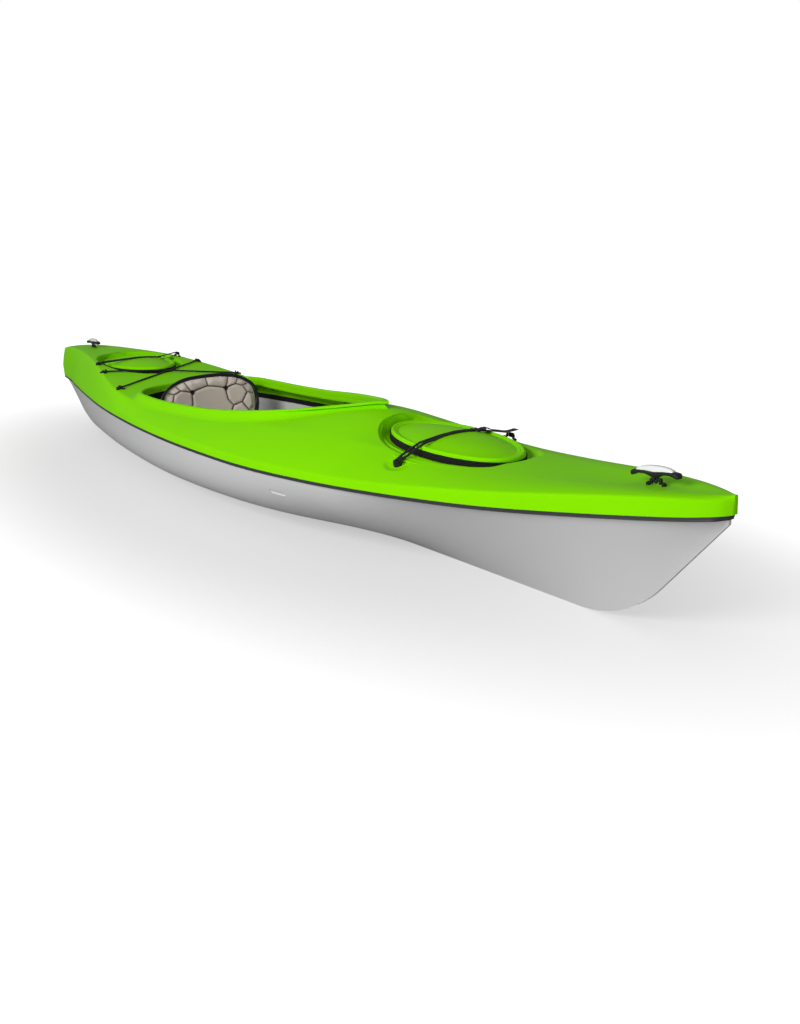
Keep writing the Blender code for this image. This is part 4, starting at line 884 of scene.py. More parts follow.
def strip(name: str, path: np.ndarray, width: float, wall: float, across: Vector) -> Piece:
    """A flat band that follows a path.

    Args:
        name: Name of the piece.
        path: Points of its centreline.
        width: Width of the band.
        wall: Its thickness.
        across: Direction of its width.

    Returns:
        The object.
    """
    path = np.asarray(path, float)
    along = np.gradient(path, axis=0)
    along /= np.linalg.norm(along, axis=1)[:, None]
    side = np.tile(np.array(across, float), (len(path), 1))
    up = np.cross(side, along)
    up /= np.linalg.norm(up, axis=1)[:, None]
    ring = superellipse(width / 2, wall / 2, 7.0, 20)
    rings = path[:, None] + side[:, None] * ring[None, :, :1] + up[:, None] * ring[None, :, 1:]
    return loft(name, rings)


def resampled(points: Sequence[Sequence[float]], count: int) -> np.ndarray:
    """Points at even distances along a polyline."""
    points = np.asarray(points, float)
    reach = np.concatenate([[0], np.cumsum(np.linalg.norm(np.diff(points, axis=0), axis=1))])
    even = np.linspace(0, reach[-1], count)
    return np.stack([np.interp(even, reach, points[:, k]) for k in range(points.shape[1])], axis=1)


def upper_hull(points: Sequence[tuple[float, float]]) -> list[tuple[float, float]]:
    """The taut line over points that are ordered from left to right."""
    kept: list[tuple[float, float]] = []
    for point in points:
        while len(kept) > 1:
            (ax, ay), (bx, by) = kept[-2], kept[-1]
            if (bx - ax) * (point[1] - ay) - (by - ay) * (point[0] - ax) < 0:
                break
            kept.pop()
        kept.append(point)
    return kept


def screw(name: str, radius: float, place: Matrix) -> Piece:
    """A pan-head screw with a round socket, standing on the Z of its frame.

    Args:
        name: Name of the piece.
        radius: Radius of its head.
        place: Frame of its seat.

    Returns:
        The object.
    """
    head = cylinder(name, radius, radius * 0.7, (0, 0, radius * 0.2), vertices=24)
    sink_top(head, radius * 0.28, radius * 0.16, radius * 0.35)
    return moved(rounded_edges(head, radius * 0.14, 2), place)


def stitched(pad: Piece, depth: np.ndarray) -> None:
    """Stores how near each point of a pad lies to a sewn channel, for the painted shade that its cloth's
    colour puts in the channel.

    Args:
        pad: The pad.
        depth: 1 on a seam, 0 away from it.
    """
    layer = pad.data.attributes.new("seam", "FLOAT", "POINT")
    layer.data.foreach_set("value", np.clip(depth, 0, 1).astype(np.float32))


def swell(pad: Piece, pressure: float, cap: float, fineness: int = 1) -> Piece:
    """Blows a pad up as cloth, applies it and smooths it.

    Args:
        pad: The pad's mesh, a little smaller than it should become.
        pressure: Pressure of the filling.
        cap: Farthest that a point may move.
        fineness: Levels of subdivision afterwards.

    Returns:
        The same object.
    """
    modify(pad, "REMESH", mode="VOXEL", voxel_size=0.0055)
    before = mesh_points(pad)
    cloth = pad.modifiers.new("cloth", "CLOTH")
    cloth.settings.use_pressure = True
    cloth.settings.uniform_pressure_force = pressure
    cloth.settings.effector_weights.gravity = 0.0
    cloth.settings.quality = 4
    cloth.settings.bending_stiffness = 0.6
    scene = bpy.context.scene
    for frame in range(1, 21):
        scene.frame_set(frame)
    depsgraph = bpy.context.evaluated_depsgraph_get()
    shape = pad.evaluated_get(depsgraph).data
    after = np.array([v.co[:] for v in shape.vertices])
    pad.modifiers.remove(cloth)
    scene.frame_set(1)
    shift = after - before
    far = np.linalg.norm(shift, axis=1)[:, None]
    laid(pad, before + shift * np.minimum(1.0, cap / np.maximum(far, 1e-9)))
    modify(pad, "SMOOTH", factor=0.5, iterations=3)
    return modify(pad, "SUBSURF", levels=fineness, render_levels=fineness)


@dataclass(frozen=True)
class Lines:
    """The boat's lines, as tables of (share of the half length, value) points, and what is read from them."""

    length: float = 3.65
    beam: float = 0.690
    seam_level: float = 0.217
    deck_wall: float = 0.0040
    hull_wall: float = 0.0040
    clearance: float = 0.0003
    stern_rake: float = 0.035
    bow_rake: float = 0.014
    bow_bluntness: float = 0.95
    rake_start: float = 0.93
    band_lean: float = 0.004
    side_bulge: float = 0.004
    hull_inset: float = 0.004
    tip_step: float = 0.006
    breadth: Table = (
        (-1.0, 0.02), (-0.99, 0.165), (-0.953, 0.205), (-0.877, 0.267), (-0.815, 0.351), (-0.732, 0.446),
        (-0.63, 0.56), (-0.548, 0.646), (-0.466, 0.73), (-0.384, 0.803), (-0.274, 0.884), (-0.164, 0.945),
        (-0.055, 0.983), (0.055, 1.0), (0.164, 0.994), (0.274, 0.965), (0.384, 0.904), (0.493, 0.82),
        (0.603, 0.716), (0.712, 0.597), (0.822, 0.443), (0.877, 0.348), (0.932, 0.238), (0.975, 0.13),
        (0.992, 0.07), (1.0, 0.02),
    )
    sheer: Table = (
        (-1.0, -0.004), (-0.6, -0.004), (-0.2, 0.001), (0.2, 0.0), (0.4, 0.007), (0.55, 0.018), (0.7, 0.0345),
        (0.85, 0.0600), (1.0, 0.0865),
    )
    band: Table = (
        (-1.0, 0.045), (-0.9, 0.030), (-0.5, 0.020), (0.45, 0.020), (0.7, 0.033), (0.9, 0.040), (1.0, 0.030),
    )
    ridge: Table = (
        (-1.0, 0.02), (-0.98, 0.12), (-0.93, 0.18), (-0.85, 0.215), (-0.74, 0.31), (-0.63, 0.44),
        (-0.52, 0.574), (-0.41, 0.70), (-0.356, 0.745), (-0.27, 0.765), (-0.164, 0.735), (-0.055, 0.71),
        (0.055, 0.685), (0.164, 0.635), (0.274, 0.595), (0.384, 0.528), (0.493, 0.442), (0.603, 0.377),
        (0.712, 0.30), (0.822, 0.220), (0.932, 0.118), (0.975, 0.06), (1.0, 0.015),
    )
    ridge_level: Table = (
        (-1.0, 0.330), (-0.93, 0.347), (-0.79, 0.357), (-0.685, 0.354), (-0.575, 0.345), (-0.465, 0.323),
        (-0.36, 0.299), (-0.27, 0.283), (-0.16, 0.279), (-0.055, 0.284), (0.055, 0.292), (0.164, 0.303),
        (0.274, 0.310), (0.384, 0.314), (0.55, 0.308), (0.62, 0.303), (0.7, 0.306), (0.82, 0.320),
        (0.93, 0.335), (1.0, 0.342),
    )
    crown_level: Table = (
        (-1.0, 0.332), (-0.93, 0.350), (-0.79, 0.355), (-0.65, 0.348), (-0.55, 0.336), (-0.44, 0.318),
        (-0.36, 0.302), (-0.30, 0.290), (0.0, 0.300), (0.165, 0.340), (0.22, 0.350), (0.275, 0.359),
        (0.33, 0.366), (0.385, 0.367), (0.415, 0.352), (0.445, 0.336), (0.49, 0.326), (0.6, 0.311),
        (0.7, 0.310), (0.85, 0.319), (0.93, 0.332), (1.0, 0.344),
    )
    topside_breadth: Table = (
        (-1.0, 0.85), (-0.6, 0.94), (0.0, 0.985), (0.42, 0.92), (0.6, 0.66), (1.0, 0.50),
    )
    topside_depth: Table = ((-1.0, 0.60), (-0.4, 0.50), (0.42, 0.50), (0.65, 0.66), (1.0, 0.66))
    bilge_breadth: Table = (
        (-1.0, 0.30), (-0.85, 0.65), (-0.7, 0.95), (-0.2, 0.97), (0.1, 0.90), (0.25, 0.77), (0.4, 0.53),
        (0.6, 0.33), (1.0, 0.15),
    )
    bilge_depth: Table = (
        (-1.0, 0.27), (-0.85, 0.17), (-0.7, 0.09), (-0.2, 0.09), (0.1, 0.16), (0.25, 0.225), (0.4, 0.30),
        (0.5, 0.34), (0.6, 0.33), (1.0, 0.30),
    )
    keel_flat: Table = (
        (-1.0, 0.004), (-0.75, 0.008), (-0.45, 0.030), (0.2, 0.030), (0.36, 0.012), (0.45, 0.007),
        (1.0, 0.004),
    )
    stem: tuple[float, float] = (0.005, math.radians(49.0))
    stern_post: tuple[float, float] = (0.038, math.radians(53.0))
    foot_radius: float = 0.30
    corner_reach: tuple[float, ...] = (0.007, 0.2, 0.010, 0.2, 0.2, 0.2)
    corner_points: tuple[int, ...] = (5, 13, 6, 6, 6, 5)
    dish: tuple[float, float] = (0.984, 0.190)
    dish_size: tuple[float, float] = (0.044, 0.026)
    dish_depth: float = 0.0055

    @property
    def half(self) -> float:
        """Half of the boat's length."""
        return self.length / 2

    def read(self, table: Table, x: np.ndarray | float) -> np.ndarray:
        """Faired value of a table at places along the boat."""
        return np.interp(np.asarray(x, float) / self.half, *faired(table))

    def seam_height(self, x: np.ndarray | float) -> np.ndarray:
        """Height of the joint between hull and deck."""
        return self.seam_level + self.read(self.sheer, x)

    def stations(self) -> np.ndarray:
        """Places along the boat: close together at both ends and beside the strap dishes."""
        turn = np.linspace(-1, 1, 261)
        even = self.half * (0.85 * np.sin(turn * math.pi / 2) + 0.15 * turn)
        near = self.dish[0] + np.linspace(-0.055, 0.055, 29)
        clear = even[(even < near[0] - 0.002) | (even > near[-1] + 0.002)]
        return np.sort(np.concatenate([clear, near]))

    def deck_sections(self, x: np.ndarray) -> np.ndarray:
        """Outer sections of the deck from the starboard seam over the centreline to the port seam.

        Args:
            x: Places along the boat.

        Returns:
            Points as stations, points and (y, z).
        """
        half = self.read(self.breadth, x) * self.beam / 2
        low = self.seam_height(x)
        ridge_y, ridge_z = self.read(self.ridge, x) * self.beam / 2, self.read(self.ridge_level, x)
        crown = self.read(self.crown_level, x)
        shoulder_y, shoulder_z = half - np.minimum(self.band_lean, half / 4), low + self.read(self.band, x)
        bulge = self.side_bulge * np.minimum(1.0, half / 0.15)
        half_polygon = stacked(
            (half, low + self.clearance),
            (shoulder_y, shoulder_z),
            ((shoulder_y + ridge_y) / 2 + 0.3 * bulge, (shoulder_z + ridge_z) / 2 + 0.95 * bulge),
            (ridge_y, ridge_z),
            (ridge_y * 0.62, ridge_z + (crown - ridge_z) * 0.55),
            (ridge_y * 0.30, ridge_z + (crown - ridge_z) * 0.90),
        )
        centre = stacked((np.zeros_like(crown), crown))
        polygon = np.concatenate([half_polygon * (-1, 1), centre, half_polygon[:, ::-1]], axis=1)
        reach, steps = self.corner_reach, self.corner_points
        return rounded_corners(polygon, reach + reach[-2::-1], steps + steps[-2::-1])

    def raked(self, sections: np.ndarray, x: np.ndarray) -> np.ndarray:
        """X of each point of the deck's sections: near the ends the seam stays behind the deck above it."""
        share = np.abs(x) / self.half
        growth = np.clip((share - self.rake_start) / (1 - self.rake_start), 0, None) ** 2
        reach = np.where(x > 0, self.bow_rake, self.stern_rake)
        low, high = sections[:, :1, 1], sections[:, :, 1].max(axis=1, keepdims=True)
        level = (sections[:, :, 1] - low) / np.maximum(high - low, 1e-6)
        start, top_share = np.full((len(x), 1), 0.6), np.where(x > 0, 0.9, 0.6)[:, None]
        upper = ((level - start) / (1 - start)).clip(0) ** 2
        rounding = (1 - level / 0.45).clip(0) ** 1.3 + top_share * upper
        least = np.where(x > 0, self.bow_bluntness, 0.0)[:, None]
        return x[:, None] - np.sign(x)[:, None] * (reach * growth)[:, None] * (least + (1 - least) * rounding)

    def deck_height(self, x: np.ndarray, y: np.ndarray) -> np.ndarray:
        """Height of the deck's outer face over points of the plan."""
        x, y = np.atleast_1d(np.asarray(x, float)), np.atleast_1d(np.asarray(y, float))
        sections = self.deck_sections(x)
        half = sections.shape[1] // 2 + 1
        return np.array([np.interp(-abs(b), s[:half, 0], s[:half, 1]) for s, b in zip(sections, y)])

    def deck_frame(self, x: float, y: float, heading: float, feet: tuple[float, float]) -> Matrix:
        """The frame of a fitting that stands on the deck, lifted until its foot clears the deck everywhere.

        Args:
            x: Its place along the boat.
            y: Its place across the boat.
            heading: Direction of its X in the plan, in radians.
            feet: Half length and half width of its foot.

        Returns:
            A matrix whose Z leaves the deck.
        """
        step = 0.008
        fore, aft, out, back = self.deck_height([x + step, x - step, x, x], [y, y, y + step, y - step])
        normal = Vector(((aft - fore) / (2 * step), (back - out) / (2 * step), 1)).normalized()
        long = Vector((math.cos(heading), math.sin(heading), 0))
        long = (long - long.dot(normal) * normal).normalized()
        wide = normal.cross(long)
        place = Vector((x, y, float(self.deck_height(x, y)[0])))
        shares = [(u, v) for u in np.linspace(-1, 1, 5) for v in np.linspace(-1, 1, 5)]
        spots = np.array([place + long * (u * feet[0]) + wide * (v * feet[1]) for u, v in shares])
        rise = float(((self.deck_height(spots[:, 0], spots[:, 1]) - spots[:, 2]) * normal.z).max())
        frame = Matrix((long, wide, normal)).transposed().to_4x4()
        frame.translation = place + normal * (max(rise, 0.0) + 2 * self.clearance)
        return frame

    def seam_loop(self, out: float) -> tuple[np.ndarray, np.ndarray]:
        """Plan of the deck's lower edge, anticlockwise from the bow.

        Args:
            out: Distance by which the plan is moved outwards.

        Returns:
            Points of the plan, and the height of the seam there.
        """
        x = self.stations()
        breadth = self.read(self.breadth, x) * self.beam / 2
        half = np.stack([self.raked(self.deck_sections(x), x)[:, 0], breadth], axis=1)
        loop = np.concatenate([half[::-1], half * (1, -1)])
        moved_out = loop + out * mitres(loop)
        moved_out[:, 0] -= self.tip_step * np.clip((moved_out[:, 0] / self.half - 0.975) / 0.012, 0, 1) ** 2
        return moved_out, self.seam_height(moved_out[:, 0])

    def keel_height(self, x: np.ndarray) -> np.ndarray:
        """Height of the keel line, which lies on the ground between the two stems."""
        heights = np.zeros_like(x)
        for sign, (back, rake) in ((1, self.stem), (-1, self.stern_post)):
            top_x = self.half - back
            top_z = float(self.seam_height(sign * top_x))
            corner = top_x - top_z / math.tan(rake)
            tangent = self.foot_radius * math.tan(rake / 2)
            along = x * sign
            past = along - corner + tangent
            arc = self.foot_radius - np.sqrt(np.maximum(self.foot_radius**2 - past**2, 0))
            line = (along - corner) * math.tan(rake)
            raised = np.where(along >= corner + tangent * math.cos(rake), line, arc)
            heights = np.where(along > corner - tangent, raised, heights)
        return heights

    def hull_sections(self, x: np.ndarray, half: np.ndarray, rows: int = 26) -> np.ndarray:
        """Half sections of the hull from the seam down to the keel's flat.

        Args:
            x: Places along the boat.
            half: Half breadth at the seam at each place.
            rows: Points of each half section.

        Returns:
            Points as stations, points and (y, z).
        """
        top, low = self.seam_height(x), self.keel_height(x)
        depth, half = np.maximum(top - low, 0.002), np.maximum(half, 0.002)
        flat = np.minimum(self.read(self.keel_flat, x), half * 0.8)
        topside_y = half * self.read(self.topside_breadth, x)
        topside_z = top - depth * (1 - self.read(self.topside_depth, x))
        bilge_y = flat + (half - flat) * self.read(self.bilge_breadth, x)
        bilge_z = top - depth * (1 - self.read(self.bilge_depth, x))
        handles = stacked((half, top), (topside_y, topside_z), (bilge_y, bilge_z), (flat, top - depth))
        t = np.linspace(0, 1, rows)[None, :, None]
        return (
            (1 - t) ** 3 * handles[:, :1] + 3 * t * (1 - t) ** 2 * handles[:, 1:2]
            + 3 * t * t * (1 - t) * handles[:, 2:3] + t**3 * handles[:, 3:]
        )


LINES = Lines()


@dataclass(frozen=True)
class Lamp:
    """A soft area lamp.

    Attributes:
        name: Name of the lamp.
        place: Where it hangs.
        aim: What it points at.
        size: Its two sides.
        power: Its power in watts.
    """

    name: str
    place: tuple[float, float, float]
    aim: tuple[float, float, float]
    size: tuple[float, float]
    power: float

    def make(self) -> None:
        """Adds the lamp."""
        lamp = bpy.data.lights.new(self.name, "AREA")
        lamp.shape = "RECTANGLE"
        lamp.size, lamp.size_y = self.size
        lamp.energy = self.power
        holder = bpy.data.objects.new(self.name, lamp)
        holder.location = self.place
        holder.rotation_euler = (Vector(self.aim) - Vector(self.place)).to_track_quat("-Z", "Y").to_euler()
        bpy.context.scene.collection.objects.link(holder)


@dataclass
class Studio:
    """Camera, lamps, floor and background.

    Attributes:
        camera_place: Where the camera stands.
        yaw: Direction of view in the plan, in degrees.
        pitch: How far the view points down, in degrees.
        roll: Turn about the direction of view, in radians.
        focal_pixels: Focal length in pixels of a frame 800 wide.
        world: Strength of the background as light.
        glow: Light that the floor adds near the boat for what sees it straight; it rises to white away from
            the boat, so the dimmer floor round the boat is a painted soft shadow.
        floor: Grey of the floor.
    """

    camera_place: tuple[float, float, float] = (2.8689, -1.5941, 0.8694)
    yaw: float = 143.193
    pitch: float = 16.630
    roll: float = -0.0325
    focal_pixels: float = 984.56
    frame_pixels: tuple[int, int] = (800, 1024)
    sensor: float = 36.0
    world: float = 0.28
    glow: float = 0.48
    floor: float = 0.40
    lamps: tuple[Lamp, ...] = (
        Lamp("key", (0.9, -4.4, 2.6), (0.0, 0.0, 0.2), (3.0, 1.8), 165),
        Lamp("over", (0.3, 0.8, 4.0), (0.2, 0.0, 0.0), (5.0, 3.0), 5),
        Lamp("low", (3.0, -1.9, 0.20), (1.62, 0.0, 0.06), (0.8, 0.3), 14),
    )

    def make_camera(self) -> None:
        """Adds the camera at the photograph's place."""
        yaw, pitch = math.radians(self.yaw), math.radians(self.pitch)
        forward = Vector((math.cos(pitch) * math.cos(yaw), math.cos(pitch) * math.sin(yaw), -math.sin(pitch)))
        right = forward.cross(Vector((0, 0, 1))).normalized()
        up = right.cross(forward)
        level_right = math.cos(self.roll) * right + math.sin(self.roll) * up
        level_up = -math.sin(self.roll) * right + math.cos(self.roll) * up
        matrix = Matrix((level_right, level_up, -forward)).transposed().to_4x4()
        matrix.translation = self.camera_place
        camera = bpy.data.cameras.new("camera")
        camera.sensor_fit = "HORIZONTAL"
        camera.sensor_width = self.sensor
        camera.lens = self.focal_pixels / self.frame_pixels[0] * self.sensor
        holder = bpy.data.objects.new("camera", camera)
        holder.matrix_world = matrix
        bpy.context.scene.collection.objects.link(holder)
        bpy.context.scene.camera = holder

    def make_world(self) -> None:
        """Sets a plain world: white to the camera and through clear pieces, grey as light and in mirrors."""
        world = bpy.data.worlds.new("studio")
        bpy.context.scene.world = world
        world.use_nodes = True
        nodes, links = world.node_tree.nodes, world.node_tree.links
        background = nodes["Background"]
        path = nodes.new("ShaderNodeLightPath")
        level = nodes.new("ShaderNodeMapRange")
        seen = nodes.new("ShaderNodeMath")
        seen.operation = "MAXIMUM"
        links.new(path.outputs["Is Camera Ray"], seen.inputs[0])
        links.new(path.outputs["Is Transmission Ray"], seen.inputs[1])
        links.new(seen.outputs[0], level.inputs["Value"])
        level.inputs["To Min"].default_value = self.world
        level.inputs["To Max"].default_value = 1.0
        links.new(level.outputs["Result"], background.inputs["Strength"])
        background.inputs["Color"].default_value = (1, 1, 1, 1)

    def make_floor(self) -> None:
        """Adds the pale floor, which keeps the boat's shadow and goes white away from it; its lower glow near
        the boat is a painted soft shadow.
        """
        pick_nothing()
        bpy.ops.mesh.primitive_plane_add(size=60, location=(0, 0, -0.0005))
        floor = named("floor")
        tree = NodeTree("floor_paper")
        path = tree.add("ShaderNodeLightPath")
        seen = tree.maths("MAXIMUM", path.outputs["Is Camera Ray"], path.outputs["Is Transmission Ray"])
        # The glow rises from near the boat to white far off: the dimmer glow close by is a painted soft
        # shadow that widens the real one.
        where = tree.place(scale=(0.42, 0.95, 1.0))
        away = tree.add("ShaderNodeVectorMath", {0: where}, operation="LENGTH").outputs["Value"]
        span = {"Value": away, "From Min": 0.45, "From Max": 1.30, "To Min": self.glow, "To Max": 1.0}
        level = tree.add("ShaderNodeMapRange", span, interpolation_type="SMOOTHSTEP").outputs["Result"]
        tree.surface(
            Base_Color=(self.floor, self.floor, self.floor, 1.0), Roughness=1.0, Specular_IOR_Level=0.0,
            Emission_Color=(1.0, 1.0, 1.0, 1.0), Emission_Strength=tree.maths("MULTIPLY", seen, level),
        )
        floor.data.materials.append(tree.material)

    def make(self) -> None:
        """Makes the whole studio."""
        bpy.context.scene.view_settings.view_transform = "Standard"
        self.make_camera()
        for lamp in self.lamps:
            lamp.make()
        self.make_world()
        self.make_floor()


def shell(name: str, outer: np.ndarray, wall: float, inside_out: Callable[[bpy.types.Mesh], bool]) -> Piece:
    """A sheet with its end rows closed and a wall on its inner side.

    Args:
        name: Name of the piece.
        outer: Points of its outer face, as stations, points and coordinates.
        wall: Its thickness.
        inside_out: Whether the mesh has its faces inwards.

    Returns:
        The object.
    """
    piece = sheet(name, outer)
    with editing(piece):
        for row in (outer[0], outer[-1]):
            low, high = row[:, 0].min() - 1e-5, row[:, 0].max() + 1e-5
            narrow = np.abs(row[:, 1]).max() + 1e-5
            select(piece, "EDGE", lambda e: e.is_boundary and all(
                low <= v.co.x <= high and abs(v.co.y) <= narrow for v in e.verts))
            bpy.ops.mesh.edge_face_add()
        bpy.ops.mesh.select_all(action="SELECT")
        bpy.ops.mesh.normals_make_consistent(inside=False)
    if inside_out(piece.data):
        with editing(piece):
            bpy.ops.mesh.select_all(action="SELECT")
            bpy.ops.mesh.flip_normals()
    return modify(piece, "SOLIDIFY", thickness=wall, offset=-1, use_rim=True)


@dataclass
class HullShell:
    """The white hull: one thin moulding with a small recess on each side."""

    pocket: tuple[tuple[float, float], ...] = ((0.547, 0.168), (0.552, 0.144), (0.615, 0.142), (0.620, 0.166))
    pocket_depth: float = 0.0034

    def sections(self) -> np.ndarray:
        """Points of the outer face, as stations, points and coordinates."""
        loop, _ = LINES.seam_loop(-LINES.hull_inset)
        half = loop[: len(loop) // 2][::-1]
        rows = LINES.hull_sections(half[:, 0], half[:, 1])
        places = np.broadcast_to(half[:, :1], rows.shape[:2])
        side = np.stack([places, -rows[..., 0], rows[..., 1]], axis=-1)
        middle = side[:, -1:] * (1, 0, 1)
        return np.concatenate([side, middle, side[:, ::-1] * (1, -1, 1)], axis=1)

    def pocket_frame(self, side: Side, outer: np.ndarray) -> Matrix:
        """The frame of a recess: its Z leaves the hull, its Y points up the side.

        Args:
            side: Side of the boat.
            outer: Points of the hull's outer face.

        Returns:
            The matrix.
        """
        half = outer.shape[1] // 2

        def wall(x: float, z: float) -> Vector:
            """Point of the side at a place along the boat and a height."""
            breadths = [float(np.interp(z, row[:half, 2][::-1], -row[:half, 1][::-1])) for row in outer]
            return Vector((x, side.value * float(np.interp(x, outer[:, 0, 0], breadths)), z))

        x, z = np.mean(self.pocket, axis=0)
        step = 0.01
        along = (wall(x + step, z) - wall(x - step, z)).normalized() * -side.value
        up = (wall(x, z + step) - wall(x, z - step)).normalized()
        frame = Matrix((along, up, along.cross(up))).transposed().to_4x4()
        frame.translation = wall(x, z)
        return frame

    def pocket_cutter(self, side: Side, outer: np.ndarray) -> Piece:
        """The slanted recess of one side, with rounded corners and sloping walls.

        Args:
            side: Side of the boat.
            outer: Points of the hull's outer face.

        Returns:
            The cutter.
        """
        path = (np.array(self.pocket) - np.mean(self.pocket, axis=0)) * (-side.value, 1)
        cutter = prism("pocket_" + side.word, path, -self.pocket_depth, 0.02)
        with editing(cutter):
            bevel_edges(cutter, lambda e: edge_run(e, 2) > 0.01, 0.006, 4)
            select(cutter, "FACE", lambda f: all(v.co.z < 0 for v in f.verts))
            bpy.ops.transform.resize(value=(0.92, 0.52, 1))
            bpy.ops.transform.translate(value=(0, 0.0035, 0))
        return moved(cutter, self.pocket_frame(side, outer))

    def make(self) -> Piece:
        """Lays, walls and cuts the hull."""
        outer = self.sections()
        hull = shell("hull_moulding", outer, LINES.hull_wall, lambda mesh: mesh.polygons[0].normal.y > 0)
        for side in Side:
            cut(hull, self.pocket_cutter(side, outer))
        return dressed(smoothed(hull, 28), HULL_WHITE, "hull", "hull", "hull_shell")


@dataclass
class SeamTrim:
    """The dark band over the joint between hull and deck."""

    height: float = 0.0090
    proud: float = 0.0004
    profile: Table = (
        (0.0, 1.0), (0.78, 1.0), (0.94, 0.97), (1.0, 0.88), (0.90, 0.72), (0.86, 0.50), (0.90, 0.28),
        (1.0, 0.12), (0.94, 0.03), (0.78, 0.0), (0.0, 0.0),
    )

    def make(self) -> Piece:
        """Lays the band round the boat."""
        outer, height = LINES.seam_loop(-self.proud)
        inner, _ = LINES.seam_loop(-LINES.hull_inset + LINES.clearance)
        out = outer - inner
        rings = np.stack([
            np.column_stack([inner + out * u, height - self.height * (1 - t)]) for u, t in self.profile
        ], axis=1)
        return dressed(smoothed(hoop("seam_band", rings), 32), TRIM_CHARCOAL, "trim", "hull", "seam_trim")


@dataclass
class Cockpit:
    """The cockpit's opening and its rim."""

    aft_x: float = -0.565
    length: float = 1.240
    width: float = 0.474
    wall: float = 0.004
    lip: float = 0.016
    outline: Table = (
        (0.0, 0.0), (0.003, 0.34), (0.016, 0.64), (0.05, 0.87), (0.105, 0.98), (0.21, 1.0), (0.37, 0.968),
        (0.53, 0.912), (0.645, 0.828), (0.73, 0.71), (0.81, 0.54), (0.89, 0.335), (0.95, 0.165), (1.0, 0.0),
    )
    roll: Table = (
        (0.042, 0.0), (0.037, 0.01), (0.032, 0.05), (0.028, 0.13), (0.0245, 0.27), (0.0220, 0.42),
        (0.0203, 0.55), (0.0190, 0.66), (0.0180, 0.74), (0.0172, 0.80), (0.0163, 0.86), (0.0152, 0.91),
        (0.0140, 0.95), (0.0125, 0.975), (0.0108, 0.992), (0.0090, 1.0), (0.0068, 1.0),
    )
    rim_level: Table = (
        (-0.565, 0.306), (-0.45, 0.302), (-0.3, 0.301), (0.0, 0.309), (0.2, 0.324), (0.4, 0.345),
        (0.5, 0.359), (0.6, 0.374), (0.7, 0.390),
    )

    def path(self, count: int = 110) -> np.ndarray:
        """Plan of the opening, anticlockwise from its forward point.

        Args:
            count: Points on each side.

        Returns:
            Points of the plan.
        """
        outline = np.array(self.outline) * (self.length, self.width / 2) + (self.aft_x, 0)
        reach = np.concatenate([[0], np.cumsum(np.linalg.norm(np.diff(outline, axis=0), axis=1))])
        even = np.linspace(0, reach[-1], count)
        half = np.stack([monotone(tuple(zip(reach, outline[:, k])), even) for k in (0, 1)], axis=1)
        return np.concatenate([half[::-1], half[1:-1] * (1, -1)])

    def make_rim(self) -> Piece:
        """The rim: a fillet off the deck, a wall, a rolled lip and, inside it, a grooved return."""
        path = self.path()
        out = mitres(path)
        top = monotone(self.rim_level, path[:, 0])

        def deck(u: float) -> np.ndarray:
            """Height of the deck at a distance outside the opening."""
            spot = path + out * u
            return LINES.deck_height(spot[:, 0], spot[:, 1])

        base = deck(0.0)
        under_lip = top - 0.0085
        fillet = ((0.036, -0.0008), (0.032, 0.0001), (0.026, 0.0006), (0.021, 0.0018), (0.0165, 0.0040),
                  (0.0125, 0.0075), (0.0095, 0.0120), (0.0078, 0.0180))
        lip = ((0.0072, -0.0082), (0.0100, -0.0078), (0.0138, -0.0074), (0.0160, -0.0062), (0.0170, -0.0042),
               (0.0166, -0.0022), (0.0150, -0.0008), (0.0122, 0.0002), (0.0085, 0.0006), (0.0045, 0.0004),
               (0.0018, -0.0006), (0.0003, -0.0026), (0.0, -0.0060), (0.0, -0.0165), (0.0012, -0.0178),
               (0.0012, -0.0192), (0.0, -0.0205))
        hard = [
            (u, np.minimum(deck(u) + rise, under_lip - 0.0004 * k))
            for k, (u, rise) in enumerate(fillet[::-1])
        ][::-1]
        hard += [(u, top + rise) for u, rise in lip[:9]]
        hood = eased((path[:, 0] - 0.28) / 0.26)
        tip = np.clip((path[:, 0] - 0.50) / 0.16, 0, 1) ** 2
        rows = []
        for (u, z), (soft_u, share) in zip(hard, self.roll):
            soft_z = deck(soft_u) * (1 - share) + (top + 0.0006) * share - (0.0008 if share == 0 else 0.0)
            reach = soft_u + (u - soft_u) * hood
            reach = reach - tip * 0.0045 * (len(rows) < 9)
            rows.append((reach, soft_z + (z - soft_z) * hood))
        rows += [(u, top + rise) for u, rise in lip[9:]]
        low = np.minimum(base - 0.0100, top - 0.0225)
        rows += [
            (0.0, low + 0.002), (0.0006, low), (0.0022, low - 0.001), (0.0038, low), (0.0042, low + 0.003),
        ]
        rows += [(0.012, deck(0.012) - 0.0052), (0.036, deck(0.036) - 0.0046)]
        rings = np.stack([np.column_stack([path + out * np.reshape(u, (-1, 1)), z]) for u, z in rows], axis=1)
        return smoothed(hoop("cockpit_rim", rings))

    def cutter(self) -> Piece:
        """The prism that opens the deck."""
        path = self.path(60)
        return prism("cockpit_cutter", path + 0.010 * mitres(path), 0.1, 0.6)


